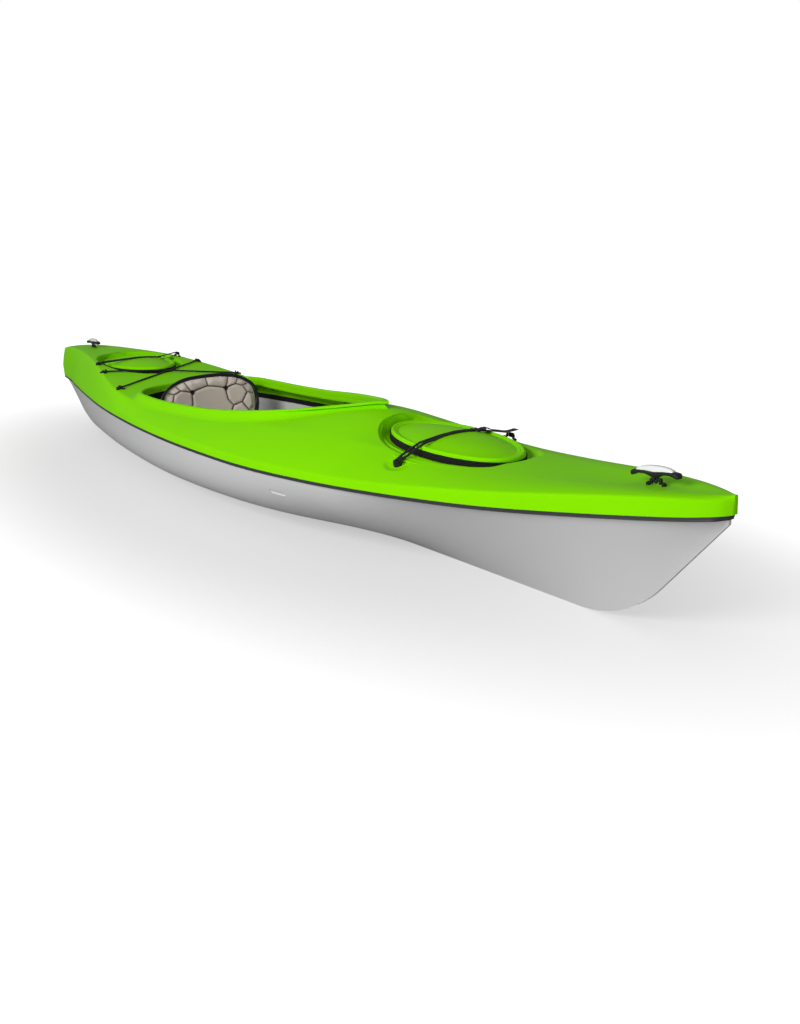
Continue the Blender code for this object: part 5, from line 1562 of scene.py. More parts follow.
@dataclass
class Hatch:
    """An oval hatch: its well, lid, gasket, anchors and strap. Heights run from the lid's lower edge.

    Attributes:
        name: front or rear.
        x: Place of its centre along the boat.
        z: Height of its centre.
        slope: Turn about Y, in radians.
        anchor_y: Distance of its strap's anchors from the centreline.
    """

    name: str
    x: float
    z: float
    slope: float
    anchor_y: float
    length: float = 0.450
    width: float = 0.240
    margin: float = 0.016
    draft: float = 0.006
    ledge: float = 0.030
    gasket_height: float = 0.013
    skirt: float = 0.005
    scoop: float = 0.026
    points: int = 120
    top: Table = (
        (0.0, 0.0220), (0.45, 0.0184), (0.66, 0.0132), (0.80, 0.0078), (0.93, 0.0094), (0.98, 0.0088),
        (1.0, 0.002),
    )

    @property
    def frame(self) -> Matrix:
        """The matrix from the hatch's own frame to the boat's."""
        return Matrix.Translation((self.x, 0, self.z)) @ Matrix.Rotation(-self.slope, 4, "Y")

    def oval(self, out: float) -> np.ndarray:
        """The lid's outline, moved outwards, in the hatch's own plane."""
        turn = np.linspace(0, 2 * math.pi, self.points, endpoint=False)
        edge = np.stack([self.length / 2 * np.cos(turn), self.width / 2 * np.sin(turn)], axis=1)
        normal = np.stack([np.cos(turn) / (self.length / 2), np.sin(turn) / (self.width / 2)], axis=1)
        return edge + out * normal / np.linalg.norm(normal, axis=1)[:, None]

    def in_boat(self, points: np.ndarray) -> np.ndarray:
        """Points of the hatch's own frame in the boat's frame."""
        matrix = np.array(self.frame)
        return points @ matrix[:3, :3].T + matrix[:3, 3]

    def lid_height(self, share: float) -> np.ndarray:
        """Height of the lid's face at a share of the way from its centre to its edge."""
        return self.skirt + monotone(self.top, share)

    def deck_over(self, plan: np.ndarray) -> np.ndarray:
        """Height of the deck over points of the hatch's own plane."""
        world = self.in_boat(np.column_stack([plan, np.zeros(len(plan))]))
        return LINES.deck_height(world[:, 0], world[:, 1]) - world[:, 2]

    def scooped(self) -> tuple[np.ndarray, np.ndarray]:
        """Where the deck dips to the gasket beside the lid.

        Returns:
            How far it dips at each point of the oval, from 0 to 1, and the width of the dip there.
        """
        turn = np.linspace(0, 2 * math.pi, self.points, endpoint=False)
        aside = eased((np.abs(np.sin(turn)) - 0.10) / 0.35)
        astern = eased((0.99 - np.cos(turn)) / 0.12)
        low = aside * astern
        return low, 0.004 + (self.scoop - 0.004) * low * (1 - 0.55 * np.clip(-np.cos(turn), 0, 1))

    def cutter(self) -> Piece:
        """The prism that opens the deck for the well."""
        plan = self.oval(self.margin + self.draft + (self.scooped()[1] - 0.001)[:, None])
        plan = plan * (math.cos(self.slope), 1) + (self.x, 0)
        return prism(self.name + "_well_cutter", plan, 0.22, 0.5)

    def make_well(self) -> Piece:
        """The recess round the lid, rounded over at the deck, with the ledge that the gasket sits on."""
        edge = self.margin + self.draft
        floor = -self.gasket_height - 2 * LINES.clearance
        low, reach = self.scooped()
        turn = np.linspace(0, 2 * math.pi, self.points, endpoint=False)
        rest = floor + 0.0030 + 0.0080 * np.clip(np.cos(turn) * 1.5, 0, 1)
        rows = []
        for share, out, rise, fall in (
            (1.0, 0.008, -0.0009, 0.0), (1.0, 0.004, 0.0001, 0.0), (1.0, 0.0, 0.0001, 0.02),
            (0.85, 0.0, 0.0001, 0.10), (0.70, 0.0, 0.0001, 0.28), (0.50, 0.0, 0.0001, 0.62),
            (0.32, 0.0, 0.0, 0.86), (0.0, 0.003, -0.0008, 0.98), (0.0, 0.001, -0.0026, 1.0),
            (0.0, -0.0004, -0.0056, 1.0),
        ):
            plan = self.oval(edge + out + share * (reach - 0.004)[:, None])
            level = self.deck_over(plan)
            sunk = low * fall * np.maximum(level - rest, 0)
            rows.append((plan, np.maximum(level - sunk + rise, floor + 0.0015)))
        for out, height in (
            (self.margin + 0.0012, floor + 0.004), (self.margin - 0.0008, floor + 0.0012),
            (self.margin - 0.004, floor), (-self.ledge, floor), (-self.ledge - 0.0006, floor - 0.002),
            (-self.ledge, floor - 0.004), (self.margin + 0.001, floor - 0.004),
        ):
            rows.append((self.oval(out), np.full(self.points, height)))
        for out, drop in ((edge + 0.004, 0.009), (edge + (reach + 0.004)[:, None], 0.0052)):
            plan = self.oval(out)
            height = np.maximum(self.deck_over(plan) - drop, floor - 0.003)
            rows.append((plan, np.minimum(height, rows[-1][1] + 0.030)))
        rings = np.stack([self.in_boat(np.column_stack([plan, height])) for plan, height in rows], axis=1)
        return smoothed(hoop(self.name + "_hatch_well", rings))


@dataclass
class DeckMoulding:
    """The green deck with its cockpit rim and hatch wells, all one sheet."""

    cockpit: Cockpit
    hatches: Sequence[Hatch]

    def outer(self) -> np.ndarray:
        """Points of the outer face, with the strap dishes pressed in."""
        x = LINES.stations()
        sections = LINES.deck_sections(x)
        points = np.concatenate([LINES.raked(sections, x)[..., None], sections], axis=-1)
        (place, off), (long, wide) = LINES.dish, LINES.dish_size
        for side in Side:
            away = np.hypot((points[..., 0] - place) / long, (points[..., 1] - side.value * off) / wide)
            points[..., 2] -= LINES.dish_depth * eased((1.0 - away) / 0.38)
        return points

    def make(self) -> Piece:
        """Lays, walls and cuts the deck, then joins rim and wells to it."""
        deck = shell("deck_moulding", self.outer(), LINES.deck_wall,
                     lambda mesh: mesh.polygons[(len(mesh.polygons) - 2) // 2].normal.z < 0)
        cut(deck, self.cockpit.cutter())
        for hatch in self.hatches:
            cut(deck, hatch.cutter())
        smoothed(deck)
        joined(deck, self.cockpit.make_rim(), *(hatch.make_well() for hatch in self.hatches))
        return dressed(deck, DECK_GREEN, "deck", "hull", "deck_shell")


FRONT = Hatch("front", 0.986, 0.3125, math.radians(-3.1), 0.188)
REAR = Hatch("rear", -1.020, 0.3235, 0.0, 0.170, scoop=0.014)


@dataclass
class Lid:
    """A hatch lid with its gasket: a domed shell with a raised round rim and a groove inside it.

    Attributes:
        hatch: The hatch that it closes.
    """

    hatch: Hatch
    wall: float = 0.004
    edge: float = 0.0045
    face: Table = (
        (0.0, 0.0220), (0.25, 0.0210), (0.45, 0.0184), (0.66, 0.0132), (0.80, 0.0078), (0.862, 0.0052),
        (0.878, 0.0046), (0.892, 0.0052), (0.904, 0.0068), (0.916, 0.0072), (0.926, 0.0068),
        (0.936, 0.0078), (0.950, 0.0092), (0.966, 0.0094), (0.982, 0.0084), (0.993, 0.0056),
        (1.0, 0.0010),
    )
    ribs: Table = (
        (-0.013, -0.0133), (-0.013, 0.0042), (0.0012, 0.0042), (0.0028, 0.0034), (0.0034, 0.0020),
        (0.0028, 0.0006), (0.0016, -0.0002), (0.0028, -0.0010), (0.0034, -0.0024), (0.0028, -0.0038),
        (0.0016, -0.0046), (0.0028, -0.0054), (0.0034, -0.0068), (0.0028, -0.0082), (0.0016, -0.0090),
        (0.0028, -0.0098), (0.0034, -0.0112), (0.0026, -0.0127), (0.0010, -0.0133),
    )

    def make_lid(self) -> None:
        """Lofts the lid from the middle of its face over the rim and back along its underside."""
        shares = np.concatenate([np.linspace(0.03, 0.84, 22), np.linspace(0.855, 0.995, 24)])
        heights = monotone(self.face, shares)
        steps = [(s, self.hatch.skirt + z) for s, z in zip(shares, heights)]
        steps += [(1.0, self.hatch.skirt), (1.0, self.edge + 0.0004), (0.9975, self.edge), (0.90, self.edge)]
        under = zip(shares[::-2], heights[::-2])
        steps += [(s - 0.012, self.hatch.skirt + z - self.wall) for s, z in under if s < 0.88]
        turn = np.linspace(0, 2 * math.pi, 160, endpoint=False)
        plan = np.stack([self.hatch.length / 2 * np.cos(turn), self.hatch.width / 2 * np.sin(turn)], axis=1)
        rings = np.stack([
            self.hatch.in_boat(np.column_stack([plan * max(s, 0.01), np.full(160, z)])) for s, z in steps
        ])
        lid = smoothed(loft(f"{self.hatch.name}_hatch_lid", rings), 50)
        dressed(lid, DECK_GREEN, "deck", f"{self.hatch.name}_hatch", f"{self.hatch.name}_lid")

    def make_gasket(self) -> None:
        """The ribbed rubber gasket under the lid's edge."""
        rows = [
            self.hatch.in_boat(np.column_stack([self.hatch.oval(u), np.full(self.hatch.points, z)]))
            for u, z in self.ribs
        ]
        seal = smoothed(hoop(f"{self.hatch.name}_seal", np.stack(rows, axis=1)), 60)
        dressed(seal, RUBBER, "gasket", "hull", f"{self.hatch.name}_gasket")

    def make(self) -> None:
        """Makes lid and gasket."""
        self.make_lid()
        self.make_gasket()


@dataclass
class Padeye:
    """An arch on two feet, screwed to the deck, that a cord or strap passes under.

    Attributes:
        span: Clear width under the arch.
        height: Height of the arch.
        bar: Thickness of the arch.
        width: Width of the arch across its span.
        foot: Length of each foot.
        foot_wall: Thickness of each foot.
        plinth: Depth of the packing below its feet.
    """

    span: float
    height: float
    bar: float
    width: float
    foot: float = 0.010
    foot_wall: float = 0.003
    plinth: float = 0.0

    @property
    def reach(self) -> float:
        """Half the length of the padeye."""
        return self.span / 2 + self.bar + self.foot

    @property
    def bar_level(self) -> float:
        """Height of the bar's centre."""
        return self.height - self.bar / 2

    def outline(self) -> np.ndarray:
        """The arch's outline as (along, up), with rounded corners."""
        inside, outside, end, wall = self.span / 2, self.span / 2 + self.bar, self.reach, self.foot_wall
        half = [
            (outside, self.height), (outside, wall), (end, wall), (end, 0), (inside, 0),
            (inside, self.height - self.bar),
        ]
        corners = [(0, self.height), *half, *((-x, z) for x, z in half[::-1]), (0, self.height)]
        reach = [self.bar, 0.003, 0.0012, 0.0003, 0.0008, self.bar * 0.7]
        steps = [7, 5, 3, 2, 2, 6]
        path = rounded_corners(np.array([corners], float), reach + reach[::-1], steps + steps[::-1])[0]
        return path[:-1]

    def make(self, name: str, frame: Matrix, body: str, *nodes: str) -> Piece:
        """Makes the padeye on its seat.

        Args:
            name: Name of the piece.
            frame: Frame of its seat, with its X along the arch.
            body: Body that it rides on.
            *nodes: CAD nodes that it replaces.

        Returns:
            The object.
        """
        arch = moved(prism(name, self.outline(), -self.width / 2, self.width / 2), ALONG_Y)
        rounded_edges(arch, 0.0007, 2, 50)
        feet = []
        for sign in (-1, 1):
            at = Matrix.Translation((sign * (self.reach - self.foot / 2), 0, 0))
            deep = self.foot_wall + self.plinth
            pad = cylinder(name, self.foot * 0.52, deep, (0, 0, self.foot_wall - deep / 2))
            rounded_edges(pad, 0.0006, 2)
            head = screw(name, self.foot * 0.27, Matrix.Translation((0, 0, self.foot_wall)))
            feet.append(moved(joined(pad, head), at))
        piece = smoothed(moved(joined(arch, *feet), frame))
        return dressed(piece, PLASTIC, BLACK_PLASTIC, body, *nodes)


@dataclass
class CarryHandle:
    """A carry handle: a bar grip with a pale cap, on a cord that turns on the bar of its padeye.

    Attributes:
        name: bow or stern.
        x: Its place along the boat.
        lift: Height of the packing under its padeye.
    """

    name: str
    x: float
    lift: float = 0.0
    length: float = 0.123
    rise: float = 0.010
    cord: float = 0.004
    cap_length: float = 0.092
    cap_height: float = 0.0102
    cap_width: float = 0.017
    top: Table = ((0.0, 0.0094), (0.7, 0.0088), (0.93, 0.0074), (1.0, 0.0036))
    under: Table = (
        (0.0, -0.0062), (0.10, -0.0056), (0.24, -0.0022), (0.42, 0.0008), (0.60, 0.0010), (0.80, -0.0020),
        (0.93, -0.0048), (1.0, -0.0036),
    )
    breadth: Table = ((0.0, 0.0095), (0.5, 0.0110), (0.86, 0.0108), (0.96, 0.0088), (1.0, 0.0055))

    def make_grip(self, frame: Matrix) -> None:
        """The grip: hollowed for the fingers below, with drooping rounded ends."""
        share = np.sin(np.linspace(-math.pi / 2, math.pi / 2, 53))
        top, under = monotone(self.top, np.abs(share)), monotone(self.under, np.abs(share))
        rings = []
        for t, high, low, wide in zip(share, top, under, monotone(self.breadth, np.abs(share))):
            ring = superellipse(wide, (high - low) / 2, 3.0, 28)
            height = self.rise + (high + low) / 2 + ring[:, 1]
            rings.append(np.column_stack([np.full(28, t * self.length / 2), ring[:, 0], height]))
        grip = smoothed(moved(loft(f"{self.name}_grip", np.array(rings)), frame), 60)
        dressed(grip, PLASTIC, BLACK_PLASTIC, f"{self.name}_handle", f"{self.name}_handle_grip")

    def make_cap(self, frame: Matrix) -> None:
        """The pale cap: a low arc along the grip with a rounded back."""
        share = np.sin(np.linspace(-math.pi / 2, math.pi / 2, 41)) * 0.995
        rings = []
        for t in share:
            high = self.cap_height * math.sqrt(1 - t * t) + 0.0008
            ring = superellipse(self.cap_width / 2 * (1 - 0.25 * t * t), 1.0, 3.2, 28)
            ring[:, 1] = np.maximum(ring[:, 1], -0.15) * high
            height = self.rise + 0.0086 + ring[:, 1]
            rings.append(np.column_stack([np.full(28, t * self.cap_length / 2), ring[:, 0], height]))
        cap = smoothed(moved(loft(f"{self.name}_cap", np.array(rings)), frame), 50)
        dressed(cap, PALE_CAP, "pale_plastic", f"{self.name}_handle", f"{self.name}_handle_cap")

    def make(self) -> None:
        """Makes padeye, cord, grip and cap."""
        eye = Padeye(0.018, 0.013, 0.006, 0.006, plinth=self.lift + 0.001)
        seat = LINES.deck_frame(self.x, 0.0, 0.0, feet=(eye.reach, eye.bar / 2))
        seat = seat @ Matrix.Translation((0, 0, self.lift))
        eye.make(f"{self.name}_eye", seat, "hull", f"{self.name}_handle_padeye")
        frame = seat @ Matrix.Translation((0, 0, eye.bar_level))
        bend = eye.bar * 0.72 + LINES.clearance + self.cord / 2
        turns = np.radians(np.linspace(0, -180, 15))
        lower = [(0, bend * math.cos(t), bend * math.sin(t)) for t in turns]
        loop = [(0, bend, self.rise), *lower, (0, -bend, self.rise)]
        cord = moved(tube(f"{self.name}_loop", loop, self.cord / 2), frame)
        dressed(smoothed(cord, 60), CORD, "cord", f"{self.name}_handle", f"{self.name}_handle_cord")
        self.make_grip(frame)
        self.make_cap(frame)


@dataclass
class Bungee:
    """An elastic deck cord from a forward eye across the boat to an aft eye, knotted behind each.

    Attributes:
        name: bungee_low or bungee_high.
        forward: Place of its forward eye.
        aft: Place of its aft eye.
        lift: Height by which it passes over the other cord on the centreline.
    """

    name: str
    forward: tuple[float, float]
    aft: tuple[float, float]
    lift: float
    diameter: float = 0.006
    tail: float = 0.022

    def make_knot(self, place: np.ndarray, way: np.ndarray) -> Piece:
        """Two wraps of cord round the tail behind an eye."""
        turn = Vector(way).to_track_quat("Z", "Y").to_matrix().to_4x4()
        wraps = []
        for shift, lean in ((-0.0022, 0.35), (0.0024, -0.30)):
            pick_nothing()
            bpy.ops.mesh.primitive_torus_add(
                major_radius=self.diameter * 0.62, minor_radius=self.diameter * 0.42,
                major_segments=24, minor_segments=12,
            )
            wrap = named(self.name + "_wrap")
            wraps.append(moved(wrap, Matrix.Translation((0, 0, shift)) @ Matrix.Rotation(lean, 4, "X")))
        return moved(joined(*wraps), Matrix.Translation(place) @ turn)

    def make(self) -> None:
        """Makes both eyes, the taut cord and its knots."""
        eye = Padeye(0.009, 0.012, 0.0045, 0.005)
        start, end = np.array((*self.forward, 0.0)), np.array((*self.aft, 0.0))
        length = float(np.linalg.norm(end - start))
        way = (end - start) / length
        across = math.atan2(way[1], way[0]) + math.pi / 2
        levels = []
        for word, place in (("forward", self.forward), ("aft", self.aft)):
            seat = LINES.deck_frame(*place, across, feet=(eye.reach, eye.width / 2))
            label = f"{word}_{'port' if place[1] > 0 else 'starboard'}"
            eye.make(f"bungee_eye_{label}", seat, "hull", f"deck_eye_{label}")
            levels.append((seat @ Vector((0, 0, (eye.height - eye.bar) / 2 + 0.0006))).z)
        radius = self.diameter / 2
        run = np.linspace(0, length, 61)
        spots = start + way * run[:, None]
        deck = LINES.deck_height(spots[:, 0], spots[:, 1]) + radius + 0.0006
        middle = start[1] / (start[1] - end[1]) * length
        deck += self.lift * np.exp(-(((run - middle) / 0.03) ** 2))
        line = upper_hull([(0.0, levels[0]), *zip(run[1:-1], deck[1:-1]), (length, levels[1])])
        heights = np.interp(run, *np.array(line).T)
        points = [
            (*(start - way * self.tail)[:2], levels[0] - 0.0045),
            (*(start - way * self.tail * 0.6)[:2], levels[0] - 0.0015),
        ]
        points += [(*spot[:2], z) for spot, z in zip(spots, heights)]
        points += [
            (*(end + way * self.tail * 0.6)[:2], levels[1] - 0.0015),
            (*(end + way * self.tail)[:2], levels[1] - 0.0045),
        ]
        cord = tube(self.name + "_cord", points, radius)
        knots = []
        for place, level, sign in ((start, levels[0], -1), (end, levels[1], 1)):
            spot = place + sign * way * self.tail * 0.42 + (0, 0, level - 0.0008)
            knots.append(self.make_knot(spot, way))
        dressed(smoothed(joined(cord, *knots), 60), CORD, "cord", "hull", self.name)


@dataclass
class Strap:
    """The hold-down strap of a hatch: clip, doubled cord, buckle, webbing and its loose tail.

    Attributes:
        hatch: The hatch that it crosses.
        shift: How far its port anchor stands off its place on the deck, with its bar on the strap's axis.
    """

    hatch: Hatch
    shift: tuple[float, float, float] = (0.0, 0.0, 0.0)
    cord: float = 0.006
    spacing: float = 0.017
    webbing: tuple[float, float] = (0.020, 0.0016)
    buckle: tuple[float, float, float] = (0.027, 0.034, 0.006)
    buckle_start: float = 0.060
    clip_radius: float = 0.010
    clip_reach: float = 0.022
    clip_wall: float = 0.003
    post: float = 0.003
    base: tuple[float, float] = (0.011, 0.003)
    eye: Padeye = field(default_factory=lambda: Padeye(0.022, 0.0125, 0.0045, 0.005, plinth=0.006))

    @property
    def body(self) -> str:
        """Body that the strap rides on."""
        return f"{self.hatch.name}_strap"

    def anchor(self, side: Side) -> Matrix:
        """The frame of the anchor on one side."""
        feet = (self.base[0], self.base[0])
        if side is Side.PORT:
            feet = (self.eye.reach, self.eye.width / 2)
        seat = LINES.deck_frame(self.hatch.x, side.value * self.hatch.anchor_y, 0.0, feet=feet)
        return seat if side is Side.STARBOARD else Matrix.Translation(self.shift) @ seat

    def lie(self, y: np.ndarray, lift: float) -> np.ndarray:
        """Height of a taut strap over the lid in the hatch's own frame.

        Args:
            y: Distances from the centreline.
            lift: Height of the strap's centre over what it lies on.

        Returns:
            The heights.
        """
        width = self.hatch.width / 2
        shares = np.linspace(-0.99, 0.99, 81)
        over = [(width * t, float(self.hatch.lid_height(abs(t))) + lift) for t in shares]
        return np.interp(y, *np.array(upper_hull(over)).T)

    def in_boat(self, points: Sequence[Sequence[float]]) -> np.ndarray:
        """Points of the hatch's own frame in the boat's frame."""
        return self.hatch.in_boat(np.asarray(points, float))

    def finish(self, piece: Piece, finish: Moulded | Textile, slot: str, *nodes: str) -> Piece:
        """Moves a piece from the hatch's own frame to its place and dresses it."""
        return dressed(smoothed(moved(piece, self.hatch.frame)), finish, slot, self.body, *nodes)

    def make_anchors(self) -> None:
        """The post anchor to starboard and the bar anchor to port."""
        name = f"{self.hatch.name}_anchor_"
        seat = self.anchor(Side.STARBOARD)
        radius, height = self.base
        base = cylinder(name + "post", radius, height + 0.006, (0, 0, (height - 0.006) / 2), vertices=40)
        rounded_edges(base, 0.001)
        post = rounded_edges(cylinder(name + "pin", self.post, 0.009, (0, 0, height + 0.004)), 0.0012, 3)
        anchor = moved(joined(base, post), seat)
        dressed(smoothed(anchor), PLASTIC, BLACK_PLASTIC, "hull", name + "starboard")
        self.eye.make(name + "bar", self.anchor(Side.PORT), "hull", name + "port")

    def make_clip(self) -> Matrix:
        """The forked clip that drops over the post, and its frame in the hatch's own."""
        level = self.base[1] + LINES.clearance + self.clip_wall / 2
        frame = self.hatch.frame.inverted() @ self.anchor(Side.STARBOARD) @ Matrix.Translation((0, 0, level))
        turn = np.linspace(math.pi * 0.95, math.pi * 2.05, 25)
        half = (self.spacing + self.cord) / 2
        disc = np.stack([self.clip_radius * np.cos(turn), self.clip_radius * np.sin(turn)], axis=1)
        end, wall = self.clip_reach, self.clip_wall / 2
        fork = [(half, end - 0.003), (half - 0.001, end), (0.0035, end), (0.0030, end - 0.006)]
        fork += [(-y, z) for y, z in fork[::-1]]
        plate = prism(f"{self.hatch.name}_clip", np.concatenate([disc, fork]), -wall, wall + 0.0015)
        hole = cylinder("hole", self.post + 0.0008, 0.03)
        rounded_edges(cut(plate, hole), 0.0007, 2, 50)
        rib = rounded_edges(block("rib", (0.018, 0.003, 0.0016), (0, end * 0.55, wall + 0.0018)), 0.0006, 2)
        plate = moved(joined(plate, rib), frame)
        self.finish(plate, PLASTIC, BLACK_PLASTIC, f"{self.hatch.name}_strap_clip")
        return frame

    def make_cords(self, clip: Matrix) -> None:
        """The two runs of elastic cord, which close up on their way over the lid."""
        radius = self.cord / 2
        start = clip @ Vector((0, self.clip_reach - 0.004, 0.0012))
        lead = clip @ Vector((0, self.clip_reach + self.cord, 0.0016))
        ys = np.linspace(-self.hatch.width / 2, self.buckle_start + 0.003, 60)
        over = list(zip(ys, self.lie(ys, radius + 0.0004)))
        run = resampled(upper_hull([(lead.y, lead.z), *((y, z) for y, z in over if y > lead.y)]), 61)
        run = np.concatenate([[(start.y, start.z)], run])
        closing = np.clip((run[:, 0] - lead.y) / (0.0 - lead.y), 0, 1)
        apart = self.spacing / 2 + (radius * 1.06 - self.spacing / 2) * closing * closing * (3 - 2 * closing)
        runs = []
        for sign in (-1, 1):
            path = np.column_stack([sign * apart, run])
            runs.append(tube(f"{self.hatch.name}_cord", path, radius))
        self.finish(joined(*runs), CORD, "cord", f"{self.hatch.name}_strap_cord")

    def make_buckle(self) -> Matrix:
        """The ladder buckle, with two windows and a raised lip. Gives its frame in the hatch's own."""
        wide, long, high = self.buckle
        ends = np.array((self.buckle_start, self.buckle_start + long))
        low, top = self.lie(ends, high / 2 + 0.0006)
        tilt = math.atan2(top - low, long)
        frame = Matrix.Translation((0, ends.mean(), (low + top) / 2)) @ Matrix.Rotation(tilt, 4, "X")
        name = f"{self.hatch.name}_buckle"
        plate = block(name, (wide, long, high * 0.72))
        for y in (-long * 0.27, long * 0.20):
            cut(plate, block("window", (wide - 0.0066, long * 0.24, 0.03), (0, y, 0)))
        rounded_edges(plate, 0.0011, 3, 50)
        lip = block("lip", (wide * 0.86, long * 0.20, 0.0022))
        rounded_edges(lip, 0.0008, 2)
        moved(lip, Matrix.Translation((0, long * 0.40, high * 0.5)) @ Matrix.Rotation(0.45, 4, "X"))
        bar = cylinder("bar", 0.0021, wide * 0.9, (0, -long * 0.02, high * 0.28), (0, math.pi / 2, 0), 20)
        piece = moved(joined(plate, lip, bar), frame)
        self.finish(piece, PLASTIC, BLACK_PLASTIC, f"{self.hatch.name}_strap_buckle")
        return frame

    def make_webbing(self, buckle: Matrix) -> None:
        """The webbing from the buckle over the lid and round the port anchor's bar, and its loose tail."""
        width, wall = self.webbing
        bar = self.hatch.frame.inverted() @ self.anchor(Side.PORT) @ Vector((0, 0, self.eye.bar_level))
        radius = self.eye.bar * 0.75 + 0.0013 + wall / 2
        turns = np.radians(np.arange(140, -150, -10))
        round_bar = [(bar.y + radius * math.cos(t), bar.z + radius * math.sin(t)) for t in turns]
        begin = buckle @ Vector((0, self.buckle[1] * 0.1, 0))
        ys = np.linspace(begin.y + 0.004, self.hatch.width / 2 * 0.995, 30)
        over = [(begin.y, begin.z), *zip(ys, self.lie(ys, wall / 2 + 0.0005)), *round_bar[:9]]
        path = resampled([*upper_hull(over), *round_bar[9:]], 90)
        path = np.column_stack([np.zeros(len(path)), path])
        band = strip(f"{self.hatch.name}_webbing", path, width, wall, Vector((1, 0, 0)))
        self.finish(band, WEBBING, "webbing", f"{self.hatch.name}_strap_webbing")
        out = buckle @ Vector((0, self.buckle[1] * 0.30, 0.0034))
        brink = self.hatch.width / 2
        shelf = float(self.lie(np.array([brink * 0.97]), 0.0045)[0])
        tail = [
            (out.y, out.z), (out.y + 0.014, out.z + 0.0010), (brink - 0.004, shelf + 0.0015),
            (brink + 0.022, shelf - 0.0040), (brink + 0.045, shelf - 0.0080), (brink + 0.068, shelf - 0.0040),
        ]
        along = np.linspace(0, 5, 50)
        shape = [monotone(tuple((float(i), p[k]) for i, p in enumerate(tail)), along) for k in (0, 1)]
        drift = 0.026 * np.linspace(0, 1, 50) ** 2
        path = np.column_stack([drift, *shape])
        end = strip(f"{self.hatch.name}_webbing_tail", path, width * 0.9, wall, Vector((1, 0, 0)))
        self.finish(end, WEBBING, "webbing")

    def make(self) -> None:
        """Makes the whole strap and its anchors."""
        self.make_anchors()
        self.make_cords(self.make_clip())
        self.make_webbing(self.make_buckle())


@dataclass
class Seat:
    """The sliding seat: pan, brackets and cushion."""

    x: float = -0.218
    length: float = 0.380
    width: float = 0.370
    base: float = 0.052
    wall: float = 0.006
    side: float = 0.050
    hinge: tuple[float, float, float] = (-0.390, 0.0, 0.108)
    bracket_y: float = 0.060
    pin: float = 0.004
    ear: tuple[float, float] = (0.030, 0.008)
    ear_round: float = 0.011
    slot: tuple[float, float, float] = (0.060, 0.010, 0.05)
    slot_x: float = -0.13
    slots_y: tuple[float, ...] = (-0.05, 0.0, 0.05)
    cushion: tuple[float, float, float] = (0.310, 0.280, 0.028)
    cushion_shift: float = 0.025
    channels_x: tuple[float, float] = (-0.060, 0.055)
    channels_y: tuple[float, float] = (-0.065, 0.065)
    channel_depths: tuple[float, float] = (0.0055, 0.0040)
    channel_width: float = 0.0045
    piping: float = 0.0028

    def make_pan(self) -> None:
        """The moulded pan: a shallow trough with rolled sides, drain slots and the backrest's brackets."""
        half = self.width / 2
        profile = np.array([[
            (-half, self.side), (-half + 0.004, 0.018), (-half + 0.018, 0.006), (-half + 0.035, 0.0),
            (half - 0.035, 0.0), (half - 0.018, 0.006), (half - 0.004, 0.018), (half, self.side),
        ]])
        line = rounded_corners(profile, np.full(6, 0.012), np.full(6, 6))[0] + (0, self.wall / 2)
        path = np.column_stack([np.zeros(len(line)), line])
        band = strip("seat_tray", path, self.length, self.wall, Vector((1, 0, 0)))
        slots = []
        for y in self.slots_y:
            slots.append(rounded_edges(block("slot", self.slot, (self.slot_x, y, 0)), 0.004, 3, 80))
        cut(band, joined(*slots))
        local = Vector(self.hinge) - Vector((self.x, 0, self.base))
        parts = []
        long, thick = self.ear
        for sign in (-1, 1):
            y = sign * self.bracket_y
            ear = block("ear", (long, thick, local.z + 0.006), (local.x, y, (local.z + 0.014) / 2))
            with editing(ear):
                bevel_edges(
                    ear, lambda e: edge_run(e, 1) > thick / 2 and e.verts[0].co.z > 0.03, self.ear_round, 6,
                )
            cut(ear, cylinder("bore", self.pin + 0.0004, 0.05, (local.x, y, local.z), (math.pi / 2, 0, 0)))
            parts.append(rounded_edges(ear, 0.001, 2, 50))
        rounded_edges(band, 0.0015, 2, 50)
        tray = moved(joined(band, *parts), Matrix.Translation((self.x, 0, self.base)))
        dressed(smoothed(tray), SEAT_PLASTIC, BLACK_PLASTIC, "seat", "seat_pan")

    def make_cushion(self) -> None:
        """The cushion: a blown-up pad with two sewn channels and piping round its seam."""
        long, wide, high = self.cushion
        pad = block("seat_pad", (long - 0.014, wide - 0.014, high - 0.010))
        rounded_edges(pad, 0.010, 4)
        swell(pad, pressure=3.0, cap=0.006)
        points = mesh_points(pad)
        depth = np.zeros(len(points))
        deep, shallow = self.channel_depths
        between = np.abs(points[:, 1]) < self.channels_y[1]
        for y in self.channels_y:
            depth += deep * np.exp(-(((points[:, 1] - y) / self.channel_width) ** 2))
        for x in self.channels_x:
            depth += shallow * np.exp(-(((points[:, 0] - x) / self.channel_width) ** 2)) * between
        top = np.clip(points[:, 2] / (high / 2), 0, 1)
        # Painted shade in the channels, darker where they are deeper.
        stitched(pad, depth / deep)
        points[:, 2] -= depth * top
        laid(pad, points)
        ring = superellipse(long / 2 - 0.001, wide / 2 - 0.001, 9.0, 120)
        around = np.column_stack([ring, np.full(120, -0.001)])
        welt = tube("seat_piping", around[[*range(120), 0]], self.piping)
        place = Matrix.Translation((self.x + self.cushion_shift, 0, self.base + self.wall + high / 2 - 0.001))
        smoothed(moved(pad, place), 60)
        dressed(pad, PAD_CLOTH, "pad", "seat", "seat_cushion")
        dressed(smoothed(moved(welt, place), 60), PIPING, "pad", "seat")

    def make(self) -> None:
        """Makes pan and cushion."""
        self.make_pan()
        self.make_cushion()


